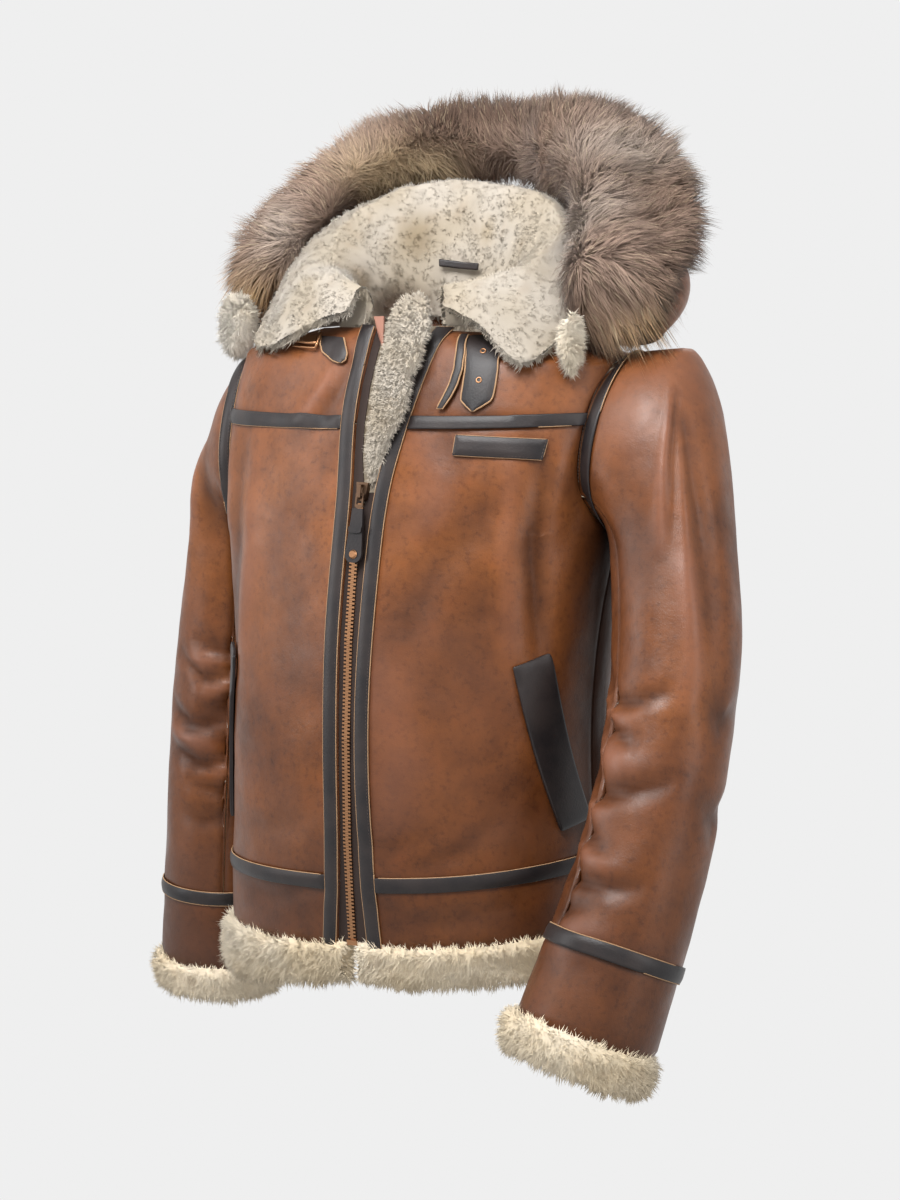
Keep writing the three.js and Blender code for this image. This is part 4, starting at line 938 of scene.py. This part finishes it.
# Teeth along the two tapes, from the slider down to the stop
teethLine = np.array([(0.0032, -0.1590, -0.160), (0.0031, -0.1705, -0.2138), (0.0036, -0.1815, -0.2890),
                      (0.0036, -0.1870, -0.3846), (0.0030, -0.1845, -0.4824), (0.0036, -0.1805, -0.5465),
                      (0.0035, -0.1765, -0.5840)])
teethPitch = 0.0036
toothSize = (0.0030, 0.0011, 0.0010)
teeth = Gather()
path, _ = resample(teethLine, (), teethPitch / 2)
for i in range(1, len(path) - 1):
    along = unit(path[i + 1] - path[i - 1])
    side = np.array([1.0, 0.0, 0.0])
    out = unit(np.cross(along, side))
    if out[1] > 0:
        out = -out
    hand = 1 if i % 2 else -1
    centre = path[i] + side * hand * 0.0013 + out * 0.0008
    corners = []
    for a in (-1, 1):
        for b in (-1, 1):
            for c in (-1, 1):
                narrow = 0.75 if a * hand < 0 else 1.0
                corners.append(centre + side * a * toothSize[0] + out * b * toothSize[1] + along * c * toothSize[2] * narrow)
    teeth.add(np.array(corners), [(0, 1, 3, 2), (4, 6, 7, 5), (0, 4, 5, 1), (2, 3, 7, 6), (0, 2, 6, 4), (1, 5, 7, 3)])
teeth.piece("zipTeeth", copper, "copper", smooth=False)
rawEdges.piece("rawEdges", rawEdge, "leather")
stitches.piece("stitches", thread, "trim_leather")
print("stage: cloth and trims")

woolPieces = {
    "collar": dict(levels=2, inset=0.0045, lump=0.0024, tufts=62000, length=(0.0036, 0.0056), droop=0.06, width=0.0013, spread=0.26),
    "hem_fur_left": dict(levels=2, inset=0.0050, lump=0.0036, tufts=15000, length=(0.0060, 0.0115), droop=0.25, width=0.0015, spread=0.32),
    "hem_fur_right": dict(levels=2, inset=0.0050, lump=0.0036, tufts=15000, length=(0.0060, 0.0115), droop=0.25, width=0.0015, spread=0.32),
    "hem_fur_back": dict(levels=2, inset=0.0050, lump=0.0036, tufts=16000, length=(0.0060, 0.0115), droop=0.25, width=0.0015, spread=0.32),
    "cuff_fur_left": dict(levels=2, inset=0.0045, lump=0.0034, tufts=12000, length=(0.0055, 0.0105), droop=0.25, width=0.0015, spread=0.32),
    "cuff_fur_right": dict(levels=2, inset=0.0045, lump=0.0034, tufts=12000, length=(0.0055, 0.0105), droop=0.25, width=0.0015, spread=0.32),
    "storm_flap": dict(levels=2, inset=0.0035, lump=0.0022, tufts=12000, length=(0.0042, 0.0070), droop=0.12, width=0.0015, spread=0.32),
    "hood_lobe_left": dict(levels=3, inset=0.0035, lump=0.0022, tufts=4000, length=(0.0065, 0.0115), droop=0.30, width=0.0015, spread=0.32),
    "hood_lobe_right": dict(levels=3, inset=0.0040, lump=0.0026, tufts=6500, length=(0.0065, 0.0115), droop=0.30, width=0.0015, spread=0.32),
}


# Where the fleece sags or rolls over its neighbour: place, reach, shift
settle = {
    "collar": [((-0.125, -0.112, 0.004), (0.075, 0.050, 0.024), (0.000, -0.004, -0.019)),
               ((0.150, -0.105, -0.010), (0.040, 0.050, 0.024), (0.000, -0.003, -0.006))],
    "hem_fur_right": [((-0.014, -0.175, -0.625), (0.028, 0.050, 0.060), (0.015, 0.000, 0.006))],
    "hem_fur_left": [((0.022, -0.175, -0.625), (0.028, 0.050, 0.060), (-0.015, 0.000, 0.006))],
    "storm_flap": [((0.016, -0.155, -0.120), (0.020, 0.030, 0.026), (-0.001, -0.004, -0.018)),
                   ((0.050, -0.125, -0.010), (0.024, 0.050, 0.060), (0.018, -0.006, 0.000)),
                   ((0.030, -0.125, -0.010), (0.060, 0.050, 0.080), (0.006, -0.012, 0.000)),
                   ((0.036, -0.145, -0.075), (0.018, 0.040, 0.030), (0.014, -0.006, 0.000))],
}

for number, (node, opts) in enumerate(woolPieces.items()):
    mesh = smoothCopy(node, opts["levels"], 70.0)
    points, normals = vertexArrays(mesh)
    lumps = noiseAt(points, 55.0, 3) + 0.5 * noiseAt(points, 130.0, 4)
    seated = 1 - 1.3 * np.clip(1.5 * normals[:, 2], 0, 1) if node.startswith(("hem", "cuff")) else 1.0
    points = points + normals * (opts["lump"] * lumps - opts["inset"] * seated)[:, None]
    shade = woolColors(points, node)
    shiftVertices(mesh, pushed(points, settle.get(node, [])))
    # painted shade in the hollows of the lumps and painted light on their tops
    setColors(mesh, shade * (0.95 + 0.12 * np.clip(lumps, -0.6, 0.4))[:, None])
    setSoftNormals(mesh, fleeceNormals(*vertexArrays(mesh), node))
    built[node] = linkPiece(camel(node) + "Wool", mesh, node, wool)
    roots, up = surfaceSamples(mesh, opts["tufts"])
    count = len(roots)
    low, high = opts["length"]
    heading = unit(up + opts["spread"] * rng.normal(size=(count, 3)) - np.array([0, 0, opts["droop"]]))
    length = rng.uniform(low, high, count)
    bend = 0.6 * opts["spread"] * rng.normal(size=(count, 3)) - np.array([0, 0, 0.10])
    tint = woolColors(roots, node) * rng.uniform(0.93, 1.06, (count, 1))
    tips = tint + (greyWool - tint) * np.clip(0.30 * rng.random((count, 1)) - 0.20, 0, 1)
    # painted shade: tufts facing down get tan tips
    if node.startswith(("hem", "cuff")):
        under = np.clip(-up[:, 2:3] - 0.25, 0, 1)
        tips = tips + (tanWool - tips) * 0.35 * under
    soft = fleeceNormals(roots, up, node)
    strands(camel(node) + "Tufts", roots - up * 0.001, soft, heading, length, np.full(count, opts["width"]), 2, 1, bend,
            tint, tips, wool, clump=(0.06, 0.34))
    if node == "collar":
        roots, up = surfaceSamples(mesh, 9000, lambda c, n: (n[:, 2] < -0.35) * (c[:, 2] > -0.075))
        count = len(roots)
        heading = unit(up + 0.5 * rng.normal(size=(count, 3)) + np.array([0, -0.25, -0.5]))
        # painted light on the collar's lower rim: these tufts are tinted brighter than the collar, tips brighter still
        tint = woolColors(roots, node) * rng.uniform(1.0, 1.15, (count, 1))
        strands("collarEdgeTufts", roots, fleeceNormals(roots, up, node), heading, rng.uniform(0.006, 0.011, count),
                np.full(count, 0.0013), 2, 2, 0.3 * rng.normal(size=(count, 3)), tint, tint * 1.08, wool,
                clump=(0.10, 0.5))
print("stage: wool")

mesh = smoothCopy("ruff", 2, 70.0)
points, normals = vertexArrays(mesh)
lumps = noiseAt(points, 28.0, 5)
ruffHeart = np.array([0.0, -0.006, 0.075])
inward = np.clip(-1.5 * (normals * unit(points - ruffHeart)).sum(axis=1) + 0.2, 0, 1)
fuller = inward * np.clip((points[:, 0] + 0.02) / 0.08, 0.25, 1)
points = points + normals * (0.006 * lumps - 0.020 + 0.041 * fuller)[:, None]
shiftVertices(mesh, points)
setColors(mesh, ruffColors(points) * 0.75)
setSoftNormals(mesh, vertexArrays(mesh)[1])
built["ruff"] = linkPiece("ruffSkin", mesh, "ruff", ruffHair)
ruffEnds = [((0.215, -0.035, 0.022), (0.055, 0.060, 0.034), None), ((-0.222, -0.025, 0.040), (0.040, 0.060, 0.030), None)]
ruffCoats = {
    "ruffUnderfur": dict(hairs=36000, length=(0.013, 0.022), width=0.0014, rings=2, dark=0.55, clump=(0.035, 0.45)),
    "ruffGuardHair": dict(hairs=24000, length=(0.018, 0.031), width=0.0009, rings=3, dark=0.75, clump=(0.020, 0.40)),
}
for name, opts in ruffCoats.items():
    roots, up = surfaceSamples(mesh, opts["hairs"])
    count = len(roots)
    radial = unit(roots - ruffHeart)
    low = np.clip((0.11 - roots[:, 2:3]) / 0.08, 0, 1)
    swirl = np.stack([noiseAt(roots, 16.0, k) for k in (11, 12, 13)], axis=1)
    comb = radial * 0.75 + np.array([0, 0, -0.75]) * low + 0.9 * swirl
    comb = comb - up * (comb * up).sum(axis=1, keepdims=True) * 0.6
    heading = unit(0.75 * up + comb + 0.22 * rng.normal(size=(count, 3)))
    length = rng.uniform(*opts["length"], count)
    ends = np.clip(blobs(roots, ruffEnds)[0] + blobs(roots, ruffEnds)[1], 0, 1)[:, None]
    heading = unit(heading * (1 - 0.55 * ends) + ends * np.array([0.30, -0.10, -0.95]))
    length = length * (1 + 1.25 * ends[:, 0] * rng.random(count))
    bend = 0.12 * rng.normal(size=(count, 3)) + 0.25 * radial - np.array([0, 0, 0.18])
    tint = ruffColors(roots) * rng.uniform(0.72, 1.22, (count, 1))
    pale = rng.random((count, 1)) < 0.10
    tips = np.where(pale, tint * 0.5 + 0.5 * yellowFur, tint)
    strands(name, roots, up, heading, length, np.full(count, opts["width"]), 2, opts["rings"], bend,
            tint * opts["dark"], tips * 1.10, ruffHair, clump=opts["clump"])
liningHair = dict(hairs=9000, length=(0.020, 0.034), width=0.0011)
for node in ("hood_left", "hood_right"):
    heart = ruffHeart - np.array([0, 0, 0.05])
    roots, up = surfaceSamples(built[node].data, liningHair["hairs"], lambda c, n: (
        ((heart - c) * n).sum(axis=1) > 0.25 * np.linalg.norm(heart - c, axis=1)) * (c[:, 2] > -0.005))
    count = len(roots)
    radial = unit(roots - ruffHeart)
    heading = unit(1.0 * up + 0.10 * radial + np.array([0, 0, 0.30]) + 0.20 * rng.normal(size=(count, 3)))
    tint = ruffColors(roots) * rng.uniform(0.75, 1.2, (count, 1))
    strands(camel(node) + "LiningHair", roots, up, heading, rng.uniform(*liningHair["length"], count),
            np.full(count, liningHair["width"]), 2, 2, 0.10 * rng.normal(size=(count, 3)), tint * 0.8, tint * 1.1,
            ruffHair, clump=(0.04, 0.45))
print("stage: ruff")

for node in ("zip_tape_left", "zip_tape_right"):
    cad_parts[node].data.materials[0] = tapeCloth
for node in ("zip_stop", "pull_rivet", "buckle_frame"):
    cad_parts[node].data.materials[0] = copper
for node in ("zip_slider", "pull_link"):
    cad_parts[node].data.materials[0] = bronze
for node in ("pull_tab", "pull_keeper"):
    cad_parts[node].data.materials[0] = trim

# ---------- stage, light and camera ----------

paper, _, _, shader = newMaterial("paleBackdrop")
shader.inputs["Base Color"].default_value = (0.0, 0.0, 0.0, 1.0)
shader.inputs["Specular IOR Level"].default_value = 0.0
shader.inputs["Emission Color"].default_value = (0.863, 0.863, 0.863, 1.0)
shader.inputs["Emission Strength"].default_value = 1.0
bm = bmesh.new()
bmesh.ops.create_uvsphere(bm, u_segments=48, v_segments=24, radius=6.0)
bmesh.ops.reverse_faces(bm, faces=bm.faces)
mesh = bpy.data.meshes.new("backdrop")
bm.to_mesh(mesh)
bm.free()
mesh.materials.append(paper)
backdrop = bpy.data.objects.new("backdrop", mesh)
bpy.context.scene.collection.objects.link(backdrop)
backdrop.visible_diffuse = False
backdrop.visible_shadow = False

world = bpy.data.worlds.new("soft")
bpy.context.scene.world = world
world.use_nodes = True
world.node_tree.nodes["Background"].inputs["Color"].default_value = (1.0, 1.0, 1.0, 1.0)
world.node_tree.nodes["Background"].inputs["Strength"].default_value = 0.32


def areaLight(name, azimuth, elevation, distance, size, power):
    light = bpy.data.lights.new(name, "AREA")
    light.shape = "RECTANGLE"
    light.size, light.size_y = size
    light.energy = power
    obj = bpy.data.objects.new(name, light)
    a, e = math.radians(azimuth), math.radians(elevation)
    obj.location = (distance * math.sin(a) * math.cos(e), -distance * math.cos(a) * math.cos(e),
                    distance * math.sin(e) - 0.25)
    aim = Vector((0, 0, -0.25)) - obj.location
    obj.rotation_euler = aim.to_track_quat("-Z", "Y").to_euler()
    bpy.context.scene.collection.objects.link(obj)


areaLight("keyLight", 8, 50, 2.0, (1.2, 0.9), 50)
areaLight("fillLight", 80, 15, 2.6, (0.8, 2.2), 16)
areaLight("rimLight", -50, 18, 2.6, (0.8, 2.2), 24)
areaLight("backLight", 200, 40, 2.8, (2.0, 1.0), 20)

azimuth, elevation, distance = math.radians(30), math.radians(8), 3.0
target = Vector((0.0069, 0.004, -0.273))
camera = bpy.data.objects.new("camera", bpy.data.cameras.new("camera"))
camera.location = target + distance * Vector((math.sin(azimuth) * math.cos(elevation),
                                              -math.cos(azimuth) * math.cos(elevation), math.sin(elevation)))
camera.rotation_euler = (target - camera.location).to_track_quat("-Z", "Y").to_euler()
camera.data.lens = 90
camera.data.sensor_width = 36
bpy.context.scene.collection.objects.link(camera)
bpy.context.scene.camera = camera
bpy.context.scene.view_settings.view_transform = "Standard"
print("stage: light and camera")
